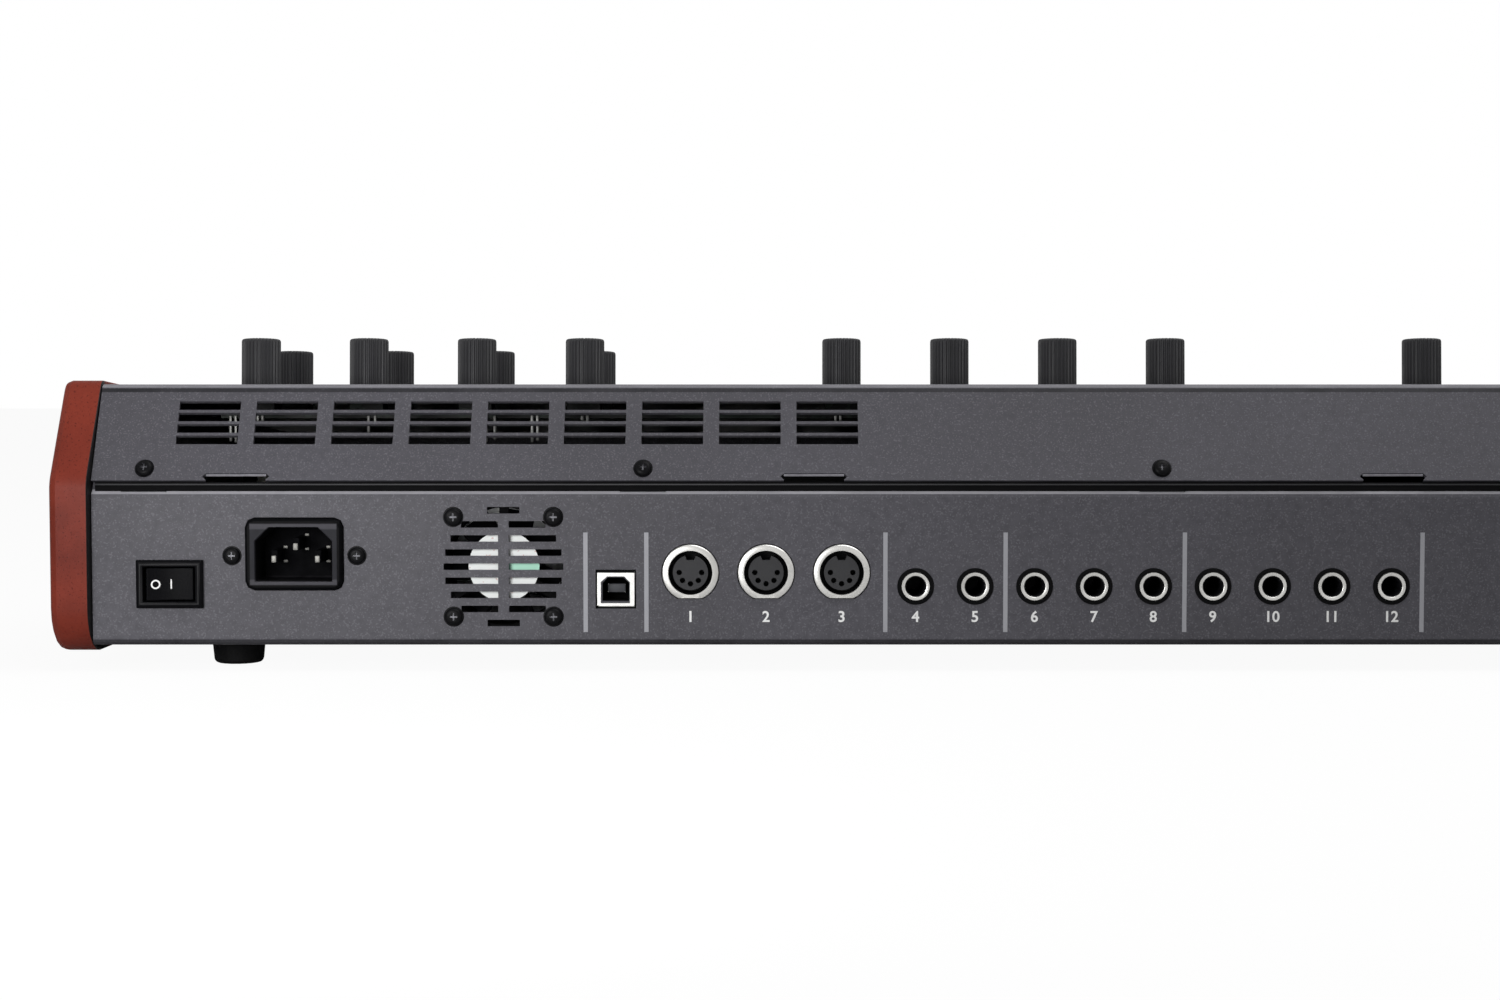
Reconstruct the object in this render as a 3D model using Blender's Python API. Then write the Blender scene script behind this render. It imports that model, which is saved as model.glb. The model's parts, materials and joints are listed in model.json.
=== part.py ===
"""Analog synthesizer with a five octave keyboard, modelled piece by piece.

X runs along the keyboard with the player's right at +X, the connectors face +Y and Z is up.
The origin is on the ground, under the middle of the instrument. All sizes are in metres.
"""
import math

import bmesh
import bpy
from mathutils import Matrix, Vector

# Clearances and sheet metal; OVERCUT is how far a cutter reaches past the face that it opens,
# SINK is how far one shape runs into another that it is joined to
GAP = 0.0003
OVERCUT = 0.002
SINK = 0.001
SHEET = 0.0015
BEND_RADIUS = 0.0022
BEND_STEPS = 3

# Meshes: the shape of a rounded edge, when two faces are one plane, when an edge is shown sharp,
# when two points are one, and the share of a side that a rounded corner may take
ROUND_PROFILE = 0.5
FLAT_ANGLE = math.radians(0.05)
SHARP_ANGLE = math.radians(30)
SAME_POINT = 1e-6
CORNER_SHARE = 0.49

# Case: widths, depths and heights
CASE_WIDTH = 0.974
LEVER_PANEL_WIDTH = 0.1145
END_BLOCK_WIDTH = 0.0135
CHEEK_THICK = 0.0127
CASE_DEPTH = 0.368
CHEEK_PROUD = 0.004
FOOT_HEIGHT = 0.0084
REAR_WALL_HEIGHT = 0.0498
FRONT_WALL_HEIGHT = 0.0416
REAR_FLANGE = 0.012
SEAM = 0.0032
LID_RISE = 0.0307
LID_LEAN = 0.0156
PANEL_SLOPE = math.radians(3.7)
APRON_CLEAR = 0.002

# Keyboard; the octaves fill the width between the lever panel and the end block
OCTAVES = 5
WHITES = 7
KEY_SPACE = 0.0010
KEY_SHOWN = 0.145
KEY_FRONT_SPACE = 0.003
KEY_RISE = 0.010
KEY_DEPTH = 0.016
KEY_TAIL_DEPTH = 0.012
KEY_WALL = 0.0022
BLACK_LENGTH = 0.094
BLACK_WIDTH = 0.011
BLACK_TOP_WIDTH = 0.0092
BLACK_RISE = 0.0105
BLACK_NOSE = 0.006
BLACK_ROUND = 0.0009
BLACK_SPACE = 0.0025
BLACK_ARM_WIDTH = 0.009
BLACK_ARM_DEPTH = 0.005
BLACK_ARM_ROOT = 0.004
BLACK_ARM_RAISE = 0.0012
KEY_BAR_RADIUS = 0.003
KEY_BAR_RAISE = 0.001
KEY_BAR_SIDES = 8
WHITE_BAR_SETBACK = 0.0325
BAR_SPACING = 0.013

# Cheeks
CHEEK_DROP = 0.0026
CHEEK_CROWN = 0.0013
CHEEK_CROWN_SETBACK = 0.0205
CHEEK_BREAK_HEIGHT = 0.0531
CHEEK_HEEL_RADIUS = 0.0145
CHEEK_REAR_RADIUS = 0.012
CHEEK_TOP_RADIUS = 0.004
CHEEK_STEP_RUN = 0.020
CHEEK_STEP_RADIUS = 0.013
CHEEK_NOSE_RADIUS = 0.012
CHEEK_ABOVE_KEYS = 0.0065
CHEEK_ROUND = 0.0026

# Feet
FOOT_TOP_RADIUS = 0.0088
FOOT_BASE_RADIUS = 0.0081
FOOT_CHAMFER = 0.001
FOOT_SIDES = 18
FOOT_END_INSET = 0.041
FOOT_EDGE_INSET = 0.027

# Vents and notches of the leaning rear face
VENT_GROUPS = 9
VENT_ROWS = 4
VENT_WIDTH = 0.0199
VENT_PITCH = 0.0250
VENT_HEIGHT = 0.0031
VENT_ROW_PITCH = 0.0041
VENT_END_INSET = 0.0357
VENT_DROP = 0.0078
NOTCH_WIDTH = 0.0193
NOTCH_HEIGHT = 0.0014
NOTCH_RELIEF = 0.0011
NOTCH_INSETS = (0.0462, 0.2313, 0.4167)
LID_TAB_WIDTH = 0.014
LID_TAB_RISE = 0.013
LID_TAB_INSETS = (0.0167, 0.1765, 0.3428)

# Knobs and buttons of the top panel
SECTIONS = 5
SECTION_INSET = 0.1001
LAST_SECTION_INSET = 0.0911
KNOBS_IN_SECTION = 4
KNOB_PITCH = 0.0364
KNOB_ROW_SETBACK = 0.029
KNOB_ROW_PITCH = 0.058
KNOB_RADIUS = 0.0065
KNOB_FLUTE = 0.0003
KNOB_FLUTES = 14
KNOB_HEIGHT = 0.0165
KNOB_ROUND = 0.0008
KNOB_LIFT = 0.0005
PLAIN_KNOB_SIDES = 16
SHAFT_RADIUS = 0.003
SHAFT_CLEAR = 0.0006
SHAFT_SIDES = 12
MOVING_REAR_KNOBS = 9
BUTTON_WIDTH = 0.013
BUTTON_DEPTH = 0.007
BUTTON_HEIGHT = 0.0035
BUTTON_ROW_PITCH = 0.030
BUTTON_ROWS = 3
PART_BUTTON_ROWS = 2
DISPLAY_WIDTH = 0.072
DISPLAY_DEPTH = 0.024
DISPLAY_THICK = 0.0012

# Rear wall: the row of connectors, measured from the case's right end and from its floor
SWITCH_INSET = 0.025
SWITCH_HEIGHT = 0.0198
SWITCH_TO_INLET = 0.0399
INLET_HEIGHT = 0.0294
INLET_TO_FAN = 0.0669
FAN_HEIGHT = 0.0253
FAN_TO_USB = 0.036
USB_HEIGHT = 0.0181
USB_TO_MIDI = 0.0239
MIDI_PITCH = 0.02425
MIDI_HEIGHT = 0.0234
MIDI_TO_JACK = 0.0237
JACK_PITCH = 0.01906
JACK_HEIGHT = 0.0190
JACK_NAMES = ("pedal_jack_1", "pedal_jack_2", "footswitch_jack_1", "footswitch_jack_2",
              "footswitch_jack_3", "output_jack_1", "output_jack_2", "output_jack_3", "phones_jack")
JACK_COUNT = len(JACK_NAMES)

# Power switch
SWITCH_WIDTH = 0.0215
SWITCH_TALL = 0.0155
SWITCH_PROUD = 0.002
SWITCH_CHAMFER = 0.0007
SWITCH_BODY_MARGIN = 0.0014
SWITCH_BODY_DEPTH = 0.018
ROCKER_WIDTH = 0.0158
ROCKER_TALL = 0.0104
ROCKER_SPACE = 0.0004
ROCKER_SINK = 0.0022
ROCKER_BACK = 0.005
ROCKER_BACK_WIDTH = 0.0087
ROCKER_VALLEY = 0.0008
ROCKER_EDGE = 0.0003
ROCKER_TILT = math.radians(10.0)

# Mains inlet
INLET_WIDTH = 0.0311
INLET_TALL = 0.0229
INLET_CORNER = 0.0028
INLET_PROUD = 0.0022
INLET_CHAMFER = 0.0007
RECESS_WIDTH = 0.0247
RECESS_TALL = 0.0175
RECESS_CHAMFER = 0.0045
RECESS_DEPTH = 0.0165
INLET_EAR_SPAN = 0.050
INLET_EAR_THICK = 0.003
INLET_BACK_WALL = 0.004
BLADE_PITCH = 0.007
BLADE_RAISE = 0.004
BLADE_DROP = 0.001
BLADE_THICK = 0.002
BLADE_TALL = 0.004
BLADE_LENGTH = 0.0115

# Fan and its grille
FAN_SIDE = 0.040
FAN_DEPTH = 0.020
FAN_CORNER = 0.003
FAN_SIDES = 24
FAN_STRUTS = 3
FAN_BORE_RADIUS = 0.019
FAN_HUB_RADIUS = 0.0115
FAN_HUB_THICK = 0.003
FAN_STRUT_WIDTH = 0.003
FAN_STRUT_THICK = 0.0018
FAN_ROOT = 0.002
ROTOR_SPACE = 0.001
FAN_BLADES = 7
FAN_BLADE_REACH = 0.0178
FAN_BLADE_THICK = 0.0014
FAN_BLADE_CHORD = 0.012
FAN_BLADE_PITCH = math.radians(40.0)
GRILLE_PITCH = 0.00453
GRILLE_SLOT = 0.00215
GRILLE_WEB = 0.0034
GRILLE_RADIUS = 0.0192
GRILLE_END_SLOT = 0.0104
GRILLE_ROWS = 9

# USB socket
USB_CUT_WIDTH = 0.013
USB_CUT_TALL = 0.0126
USB_WIDTH = 0.0119
USB_TALL = 0.0105
USB_MOUTH_WIDTH = 0.0087
USB_MOUTH_TALL = 0.0077
USB_CHAMFER = 0.0018
USB_DEPTH = 0.016
USB_TONGUE_WIDTH = 0.0056
USB_TONGUE_TALL = 0.0026
USB_TONGUE_SINK = 0.0045
USB_WELL = 0.011

# Round sockets
MIDI_NAMES = ("midi_socket_in", "midi_socket_out", "midi_socket_thru")
MIDI_SIDES = 20
MIDI_RING_RADIUS = 0.0091
MIDI_FLAT_DROP = 0.0081
MIDI_WELL_RADIUS = 0.0067
MIDI_WELL_DEPTH = 0.0075
MIDI_BODY_WIDTH = 0.0200
MIDI_BODY_DEPTH = 0.014
MIDI_KEY_WIDTH = 0.0024
MIDI_KEY_DEPTH = 0.0013

# Jacks
JACK_SIDES = 16
JACK_BORE_SIDES = 12
JACK_BORE_RADIUS = 0.0032
JACK_SLEEVE_RADIUS = 0.0048
JACK_NOSE_RADIUS = 0.0053
JACK_BORE_DEPTH = 0.026
JACK_BODY_WIDTH = 0.0155
JACK_BODY_TOP = 0.0068
JACK_BODY_DEPTH = 0.029

# Boards and power supply
BOARD_THICK = 0.0016
BOARD_MARGIN = 0.0015
BOARD_SPACE = 0.020
USB_STANDOFF = 0.00075
JACK_BOARD_DEPTH = 0.040
POST_SIDE = 0.006
MAIN_BOARD_DEPTH = 0.100
MAIN_BOARD_RAISE = 0.008
MAIN_BOARD_INSET = 0.060
SUPPLY_WIDTH = 0.052
SUPPLY_DEPTH = 0.090
SUPPLY_TALL = 0.038
SUPPLY_SPACE = 0.0215
SUPPLY_CHAMFER = 0.003
PANEL_BOARD_DEPTH = 0.110
POT_WIDTH = 0.011
POT_TALL = 0.0068

# Pitch and modulation levers
LEVER_WIDTH = 0.020
LEVER_THICK = 0.008
LEVER_RISE = 0.032
LEVER_SPACING = 0.044
LEVER_TILT = math.radians(20.0)
LEVER_PIVOT_DROP = 0.020
LEVER_TAPER = 0.8
LEVER_TIP_RADIUS = 0.003
LEVER_HUB_RADIUS = 0.007
LEVER_SETBACK = 0.072
AXLE_RADIUS = 0.0025
AXLE_SIDES = 12
HUB_SIDES = 16
EAR_THICK = 0.003
EAR_MARGIN = 0.001
EAR_SPACE = 0.0005
SLOT_SPACE = 0.0012

# Key frame
FRAME_SHEET = 0.002
FRAME_DECK_RAISE = 0.0195
FRAME_FRONT_INSET = 0.012
SHELF_AHEAD = 0.009
SHELF_BEHIND = 0.006

# Each black key as (first white key of its group, number of the key in the group)
SHARPS = ((0, 0), (0, 1), (3, 0), (3, 1), (3, 2))

# Places that follow from the sizes above
CASE_HALF = CASE_WIDTH / 2
KEYS_WIDTH = CASE_WIDTH - LEVER_PANEL_WIDTH - END_BLOCK_WIDTH
WHITE_PITCH = KEYS_WIDTH / (WHITES * OCTAVES + 1)
REAR_Y = CASE_DEPTH / 2
FRONT_Y = -CASE_DEPTH / 2
FLOOR_Z = FOOT_HEIGHT
FLOOR_TOP = FLOOR_Z + SHEET
FRONT_TOP = FLOOR_Z + FRONT_WALL_HEIGHT
KEY_TOP = FRONT_TOP + KEY_RISE
KEY_FRONT_Y = FRONT_Y + SHEET + KEY_FRONT_SPACE
APRON_Y = KEY_FRONT_Y + KEY_SHOWN
REAR_TOP = FLOOR_Z + REAR_WALL_HEIGHT
LID_FOOT = Vector((REAR_Y, REAR_TOP + SEAM))
LID_EDGE = LID_FOOT + Vector((-LID_LEAN, LID_RISE))
APRON_TOP = LID_EDGE + Vector((APRON_Y - LID_EDGE.x, (APRON_Y - LID_EDGE.x) * math.tan(PANEL_SLOPE)))
APRON_FOOT = Vector((APRON_Y, KEY_TOP + APRON_CLEAR))
KEYS_LEFT = -CASE_HALF + LEVER_PANEL_WIDTH
KEYS_RIGHT = KEYS_LEFT + KEYS_WIDTH
WHITE_BAR = Vector((APRON_Y + WHITE_BAR_SETBACK, KEY_TOP - KEY_TAIL_DEPTH + KEY_BAR_RAISE))
BLACK_BAR = WHITE_BAR + Vector((BAR_SPACING, 0))
BAR_SEAT = WHITE_BAR.y - KEY_BAR_RADIUS - GAP
LID_ANGLE = math.atan2(LID_LEAN, LID_RISE)
WALL_IN = REAR_Y - SHEET - GAP
SWITCH_X = CASE_HALF - SWITCH_INSET
INLET_X = SWITCH_X - SWITCH_TO_INLET
FAN_X = INLET_X - INLET_TO_FAN
USB_X = FAN_X - FAN_TO_USB
MIDI_X = USB_X - USB_TO_MIDI
JACK_X = MIDI_X - 2 * MIDI_PITCH - MIDI_TO_JACK
JACK_BOARD_TOP = USB_HEIGHT - USB_TALL / 2 - SHEET - USB_STANDOFF
SECTION_PITCH = (CASE_WIDTH - SECTION_INSET - LAST_SECTION_INSET) / (SECTIONS - 1)


def material(name, colour, roughness, metallic=0.0):
    made = bpy.data.materials.new(name)
    made.use_nodes = True
    shader = made.node_tree.nodes["Principled BSDF"]
    shader.inputs["Base Color"].default_value = (*colour, 1.0)
    shader.inputs["Roughness"].default_value = roughness
    shader.inputs["Metallic"].default_value = metallic
    made.diffuse_color = (*colour, 1.0)
    return made


def make_object(name, bm, finish, place=(0, 0, 0), tilt=0.0):
    """A named object from the shape in bm, shaded smooth but for its real edges."""
    bmesh.ops.recalc_face_normals(bm, faces=bm.faces[:])
    mesh = bpy.data.meshes.new(name)
    bm.to_mesh(mesh)
    bm.free()
    mesh.shade_smooth()
    mesh.set_sharp_from_angle(angle=SHARP_ANGLE)
    mesh.materials.append(finish)
    return place_mesh(name, mesh, place, tilt)


def place_mesh(name, mesh, place, tilt=0.0):
    """One more object that shares a mesh, turned about X by tilt."""
    made = bpy.data.objects.new(name, mesh)
    made.location = place
    made.rotation_euler = (tilt, 0, 0)
    bpy.context.scene.collection.objects.link(made)
    return made


def hang_on_pivot(piece, pivot_name, place, tilt=0.0):
    """Parent a piece to an empty that stands on its joint's axis."""
    pivot = bpy.data.objects.new(pivot_name, None)
    pivot.location = place
    pivot.rotation_euler = (tilt, 0, 0)
    bpy.context.scene.collection.objects.link(pivot)
    piece.parent = pivot
    return piece


def combine(piece, bm, operation):
    """Join or cut a piece with the shape in bm, and keep the result as its mesh."""
    bmesh.ops.recalc_face_normals(bm, faces=bm.faces[:])
    tool_mesh = bpy.data.meshes.new("tool")
    bm.to_mesh(tool_mesh)
    bm.free()
    tool = bpy.data.objects.new("tool", tool_mesh)
    tool.matrix_world = piece.matrix_basis
    bpy.context.scene.collection.objects.link(tool)
    modifier = piece.modifiers.new("combine", "BOOLEAN")
    modifier.operation = operation
    modifier.solver = "EXACT"
    modifier.use_self = False
    modifier.object = tool
    bpy.context.view_layer.update()
    graph = bpy.context.evaluated_depsgraph_get()
    result = bpy.data.meshes.new_from_object(piece.evaluated_get(graph))
    piece.modifiers.clear()
    result.name = piece.name
    piece.data = result
    bpy.data.objects.remove(tool)
    merge_flat_faces(result)


def merge_flat_faces(mesh):
    """Join the faces of one plane that a Boolean leaves split."""
    bm = bmesh.new()
    bm.from_mesh(mesh)
    bmesh.ops.dissolve_limit(bm, angle_limit=FLAT_ANGLE, verts=bm.verts[:], edges=bm.edges[:])
    bm.to_mesh(mesh)
    bm.free()


def cut_edges(bm, edges, size, steps=1):
    """Chamfer edges, or round them where there are more steps."""
    bmesh.ops.bevel(bm, geom=edges, offset=size, segments=steps, profile=ROUND_PROFILE,
                    affect="EDGES", material=-1)


def add_placed(bm, matrix, add, *sizes):
    """Add a shape with one of the add functions, then move it by the matrix."""
    before = set(bm.verts)
    add(bm, *sizes)
    made = [vert for vert in bm.verts if vert not in before]
    bmesh.ops.transform(bm, matrix=matrix, verts=made)


def add_box(bm, x, y, z):
    """A box between the low and high values of x, y and z."""
    size = (x[1] - x[0], y[1] - y[0], z[1] - z[0])
    middle = ((x[0] + x[1]) / 2, (y[0] + y[1]) / 2, (z[0] + z[1]) / 2)
    matrix = Matrix.Translation(middle) @ Matrix.Diagonal((*size, 1.0))
    return bmesh.ops.create_cube(bm, size=1.0, matrix=matrix)["verts"]


def add_prism(bm, outline, along, low, high):
    """Extrude a flat outline along X, Y or Z. The outline's points are the other two coordinates."""
    slot = "XYZ".index(along)

    def lift(point, value):
        point = list(point)
        point.insert(slot, value)
        return point

    base = bm.faces.new([bm.verts.new(lift(point, low)) for point in outline])
    grown = bmesh.ops.extrude_face_region(bm, geom=[base])["geom"]
    moved = [item for item in grown if isinstance(item, bmesh.types.BMVert)]
    bmesh.ops.translate(bm, verts=moved, vec=Vector(lift((0, 0), high - low)))
    return moved


def add_turned(bm, profile, steps, along="Y", turn=0.0):
    """Spin a profile of (radius, height) points, from axis to axis, about Y or Z."""
    axis = Vector((0, 1, 0)) if along == "Y" else Vector((0, 0, 1))
    points = [Vector((r, h, 0)) if along == "Y" else Vector((r, 0, h)) for r, h in profile]
    start = Matrix.Rotation(turn, 3, axis)
    verts = [bm.verts.new(start @ point) for point in points]
    edges = [bm.edges.new(pair) for pair in zip(verts, verts[1:])]
    bmesh.ops.spin(bm, geom=verts + edges, axis=axis, cent=(0, 0, 0), angle=math.tau,
                   steps=steps, use_merge=True)
    bmesh.ops.remove_doubles(bm, verts=bm.verts[:], dist=SAME_POINT)


def fillet(before, corner, after, radius, steps):
    """The arc that rounds a corner, no wider than its two sides allow."""
    before, corner, after = Vector(before), Vector(corner), Vector(after)
    back = before - corner
    ahead = after - corner
    half = back.angle(ahead) / 2
    reach = min(radius / math.tan(half), CORNER_SHARE * back.length, CORNER_SHARE * ahead.length)
    start = corner + back.normalized() * reach
    end = corner + ahead.normalized() * reach
    centre = corner + (back.normalized() + ahead.normalized()).normalized() * reach / math.cos(half)
    arm = start - centre
    sweep = arm.angle_signed(end - centre)
    arc = []
    for step in range(steps + 1):
        angle = -sweep * step / steps
        turned = (arm.x * math.cos(angle) - arm.y * math.sin(angle),
                  arm.x * math.sin(angle) + arm.y * math.cos(angle))
        arc.append(centre + Vector(turned))
    return arc


def rounded_outline(corners, steps=3):
    """A closed outline of (x, y, radius) corners, each rounded by its own radius."""
    outline = []
    for index, (x, y, radius) in enumerate(corners):
        before = corners[index - 1][:2]
        after = corners[(index + 1) % len(corners)][:2]
        if radius > 0:
            outline.extend(fillet(before, (x, y), after, radius, steps))
        else:
            outline.append(Vector((x, y)))
    return outline


def rounded_path(points, radius, steps):
    """An open path whose inner corners are rounded."""
    path = [Vector(points[0])]
    for before, corner, after in zip(points, points[1:], points[2:]):
        path.extend(fillet(before, corner, after, radius, steps))
    path.append(Vector(points[-1]))
    return path


def offset_path(path, distance):
    """A parallel path, distance to the left of the way it runs."""
    moved = []
    for index, point in enumerate(path):
        back = path[index] - path[index - 1] if index > 0 else path[1] - path[0]
        ahead = path[index + 1] - path[index] if index + 1 < len(path) else back
        left_back = Vector((-back.y, back.x)).normalized()
        left_ahead = Vector((-ahead.y, ahead.x)).normalized()
        miter = (left_back + left_ahead).normalized()
        moved.append(point + miter * distance / miter.dot(left_back))
    return moved


def sheet_outline(points):
    """The cross section of a folded sheet whose outer face follows the points, metal to the left."""
    path = rounded_path(points, BEND_RADIUS, BEND_STEPS)
    return path + offset_path(path, SHEET)[::-1]


def box_outline(width, height, centre=(0, 0)):
    x, y = centre
    return [(x - width / 2, y - height / 2), (x + width / 2, y - height / 2),
            (x + width / 2, y + height / 2), (x - width / 2, y + height / 2)]


def circle_outline(radius, steps, centre=(0, 0)):
    x, y = centre
    angles = [math.tau * (step + 0.5) / steps for step in range(steps)]
    return [(x + radius * math.cos(angle), y + radius * math.sin(angle)) for angle in angles]


def panel_point(x, setback):
    """A point on the sloping panel, setback metres forward of its rear edge."""
    return Vector((x, LID_EDGE.x - setback * math.cos(PANEL_SLOPE),
                   LID_EDGE.y - setback * math.sin(PANEL_SLOPE)))


def panel_matrix(x, setback):
    """The frame of a control on the panel: its Z is square to the sheet."""
    return Matrix.Translation(panel_point(x, setback)) @ Matrix.Rotation(PANEL_SLOPE, 4, "X")


def section_x(section):
    """The middle of a section of controls, counted from the right end."""
    return CASE_HALF - SECTION_INSET - section * SECTION_PITCH


def knob_places():
    """Every knob as (x, setback, moves): the rear row first, then the row in front of it."""
    places = []
    for section in range(SECTIONS):
        for column in range(KNOBS_IN_SECTION):
            x = section_x(section) + ((KNOBS_IN_SECTION - 1) / 2 - column) * KNOB_PITCH
            places.append((x, KNOB_ROW_SETBACK, len(places) < MOVING_REAR_KNOBS))
    for column in range(KNOBS_IN_SECTION):
        places.append((places[column][0], KNOB_ROW_SETBACK + KNOB_ROW_PITCH, True))
    return places


def lid_outline():
    """Cross section of the lid: apron over the keys, sloping panel, leaning rear face."""
    return sheet_outline([LID_FOOT, LID_EDGE, APRON_TOP, APRON_FOOT])


def lid_inner_corner(corner, before, after):
    """Where the lid's inner face turns, drawn in by the clearance as well."""
    inner = offset_path([Vector(before), Vector(corner), Vector(after)], SHEET + GAP)
    return inner[1]


def lid_face_matrix(x, up):
    """The frame of a cut in the leaning rear face: Y square to it, up metres above its foot."""
    place = LID_FOOT + (LID_EDGE - LID_FOOT).normalized() * up
    return Matrix.Translation((x, place.x, place.y)) @ Matrix.Rotation(LID_ANGLE, 4, "X")


def make_cheek(name, side, finish):
    rear = REAR_Y + CHEEK_PROUD
    front = FRONT_Y - CHEEK_PROUD
    foot = FLOOR_Z - CHEEK_DROP
    crown = LID_EDGE.y + CHEEK_CROWN
    crown_y = rear - CHEEK_CROWN_SETBACK
    shoulder_y = APRON_Y + CHEEK_PROUD
    shoulder = APRON_TOP.y + CHEEK_CROWN
    arm = KEY_TOP + CHEEK_ABOVE_KEYS
    corners = [
        (rear, foot, CHEEK_HEEL_RADIUS),
        (rear, FLOOR_Z + CHEEK_BREAK_HEIGHT, CHEEK_REAR_RADIUS),
        (crown_y, crown, CHEEK_TOP_RADIUS),
        (shoulder_y, shoulder, CHEEK_STEP_RADIUS),
        (shoulder_y - CHEEK_STEP_RUN, arm, CHEEK_STEP_RADIUS),
        (front, arm, CHEEK_NOSE_RADIUS),
        (front, foot, CHEEK_HEEL_RADIUS),
    ]
    bm = bmesh.new()
    outer = add_prism(bm, rounded_outline(corners, steps=5), "X", 0, side * CHEEK_THICK)
    rim = [edge for edge in bm.edges if all(vert in outer for vert in edge.verts)]
    cut_edges(bm, rim, CHEEK_ROUND, steps=2)
    return make_object(name, bm, finish, (side * (CASE_HALF + GAP), 0, 0))


def grille_outlines():
    """The slots of the fan grille, as rectangles centred on the fan."""
    slots = []
    middle = GRILLE_ROWS // 2
    for row in range(-middle, middle + 1):
        height = row * GRILLE_PITCH
        if abs(row) == middle:
            slots.append(box_outline(GRILLE_END_SLOT, GRILLE_SLOT, (0, height)))
            continue
        reach = math.sqrt(GRILLE_RADIUS ** 2 - height ** 2)
        width = reach - GRILLE_WEB / 2
        for side in (-1, 1):
            slots.append(box_outline(width, GRILLE_SLOT, (side * (reach + GRILLE_WEB / 2) / 2, height)))
    return slots


def midi_ring_outline(radius, flat):
    """A circle cut flat at the bottom."""
    half = math.acos(flat / radius)
    start = -math.pi / 2 + half
    sweep = math.tau - 2 * half
    angles = [start + sweep * step / MIDI_SIDES for step in range(MIDI_SIDES + 1)]
    return [(radius * math.cos(angle), radius * math.sin(angle)) for angle in angles]


def cut_rear_wall(tray):
    """Every connector's hole in the rear wall."""
    bm = bmesh.new()
    through = (REAR_Y - SHEET - OVERCUT, REAR_Y + OVERCUT)

    def cut(outline, x, height):
        moved = [(x + px, FLOOR_Z + height + pz) for px, pz in outline]
        add_prism(bm, moved, "Y", *through)

    body_width = SWITCH_WIDTH - SWITCH_BODY_MARGIN
    body_tall = SWITCH_TALL - SWITCH_BODY_MARGIN
    cut(box_outline(body_width + 2 * GAP, body_tall + 2 * GAP), SWITCH_X, SWITCH_HEIGHT)
    cut(inlet_outline(GAP), INLET_X, INLET_HEIGHT)
    for slot in grille_outlines():
        cut(slot, FAN_X, FAN_HEIGHT)
    cut(box_outline(USB_CUT_WIDTH, USB_CUT_TALL), USB_X, USB_HEIGHT)
    for index in range(len(MIDI_NAMES)):
        ring = midi_ring_outline(MIDI_RING_RADIUS + GAP, MIDI_FLAT_DROP + GAP)
        cut(ring, MIDI_X - index * MIDI_PITCH, MIDI_HEIGHT)
    for index in range(JACK_COUNT):
        cut(circle_outline(JACK_NOSE_RADIUS + GAP, JACK_SIDES), JACK_X - index * JACK_PITCH, JACK_HEIGHT)
    combine(tray, bm, "DIFFERENCE")


def mirrored_places(insets):
    """Places along the case, each given by its distance from the nearer end."""
    places = []
    for inset in insets:
        places.extend((CASE_HALF - inset, inset - CASE_HALF))
    return places


def make_bottom_tray(finish):
    """Folded pan: front wall, floor and rear wall with a turned-in flange, closed by end walls."""
    path = [(REAR_Y - REAR_FLANGE, REAR_TOP), (REAR_Y, REAR_TOP), (REAR_Y, FLOOR_Z),
            (FRONT_Y, FLOOR_Z), (FRONT_Y, FRONT_TOP)]
    section = rounded_path(path, BEND_RADIUS, BEND_STEPS)
    outline = section + offset_path(section, -SHEET)[::-1]
    bm = bmesh.new()
    add_prism(bm, outline, "X", -CASE_HALF, CASE_HALF)
    tray = make_object("bottom_tray", bm, finish)
    rear_corner = lid_inner_corner(LID_EDGE, LID_FOOT, APRON_TOP)
    front_corner = lid_inner_corner(APRON_TOP, LID_EDGE, APRON_FOOT)
    lean = LID_EDGE - LID_FOOT
    flange_y = rear_corner.x - (rear_corner.y - REAR_TOP) * lean.x / lean.y
    half = SHEET / 2
    end = [(FRONT_Y + half, FLOOR_Z + half), (REAR_Y - half, FLOOR_Z + half),
           (REAR_Y - half, REAR_TOP - BEND_RADIUS), (flange_y - half, REAR_TOP - half), rear_corner,
           front_corner, (front_corner.x, FRONT_TOP), (FRONT_Y + half, FRONT_TOP)]
    bm = bmesh.new()
    for side in (-1, 1):
        add_prism(bm, end, "X", side * CASE_HALF, side * (CASE_HALF - SHEET))
    combine(tray, bm, "UNION")
    bm = bmesh.new()
    tab_low = (flange_y, REAR_TOP - half)
    tab_high = Vector(tab_low) + lean.normalized() * LID_TAB_RISE
    back = Vector((-lean.y, lean.x)).normalized() * SHEET
    for x in mirrored_places(LID_TAB_INSETS):
        tab = [tab_low, tab_high, tab_high + back, Vector(tab_low) + back]
        add_prism(bm, tab, "X", x - LID_TAB_WIDTH / 2, x + LID_TAB_WIDTH / 2)
    combine(tray, bm, "UNION")
    cut_rear_wall(tray)
    return tray


def add_vents(bm):
    """Nine groups of four slots at the right end of the leaning face."""
    face_length = (LID_EDGE - LID_FOOT).length
    for group in range(VENT_GROUPS):
        x = CASE_HALF - VENT_END_INSET - group * VENT_PITCH
        for row in range(VENT_ROWS):
            up = face_length - VENT_DROP - row * VENT_ROW_PITCH
            add_placed(bm, lid_face_matrix(x, up), add_box, (-VENT_WIDTH / 2, VENT_WIDTH / 2),
                       (-2 * SHEET, SHEET), (-VENT_HEIGHT / 2, VENT_HEIGHT / 2))


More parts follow.
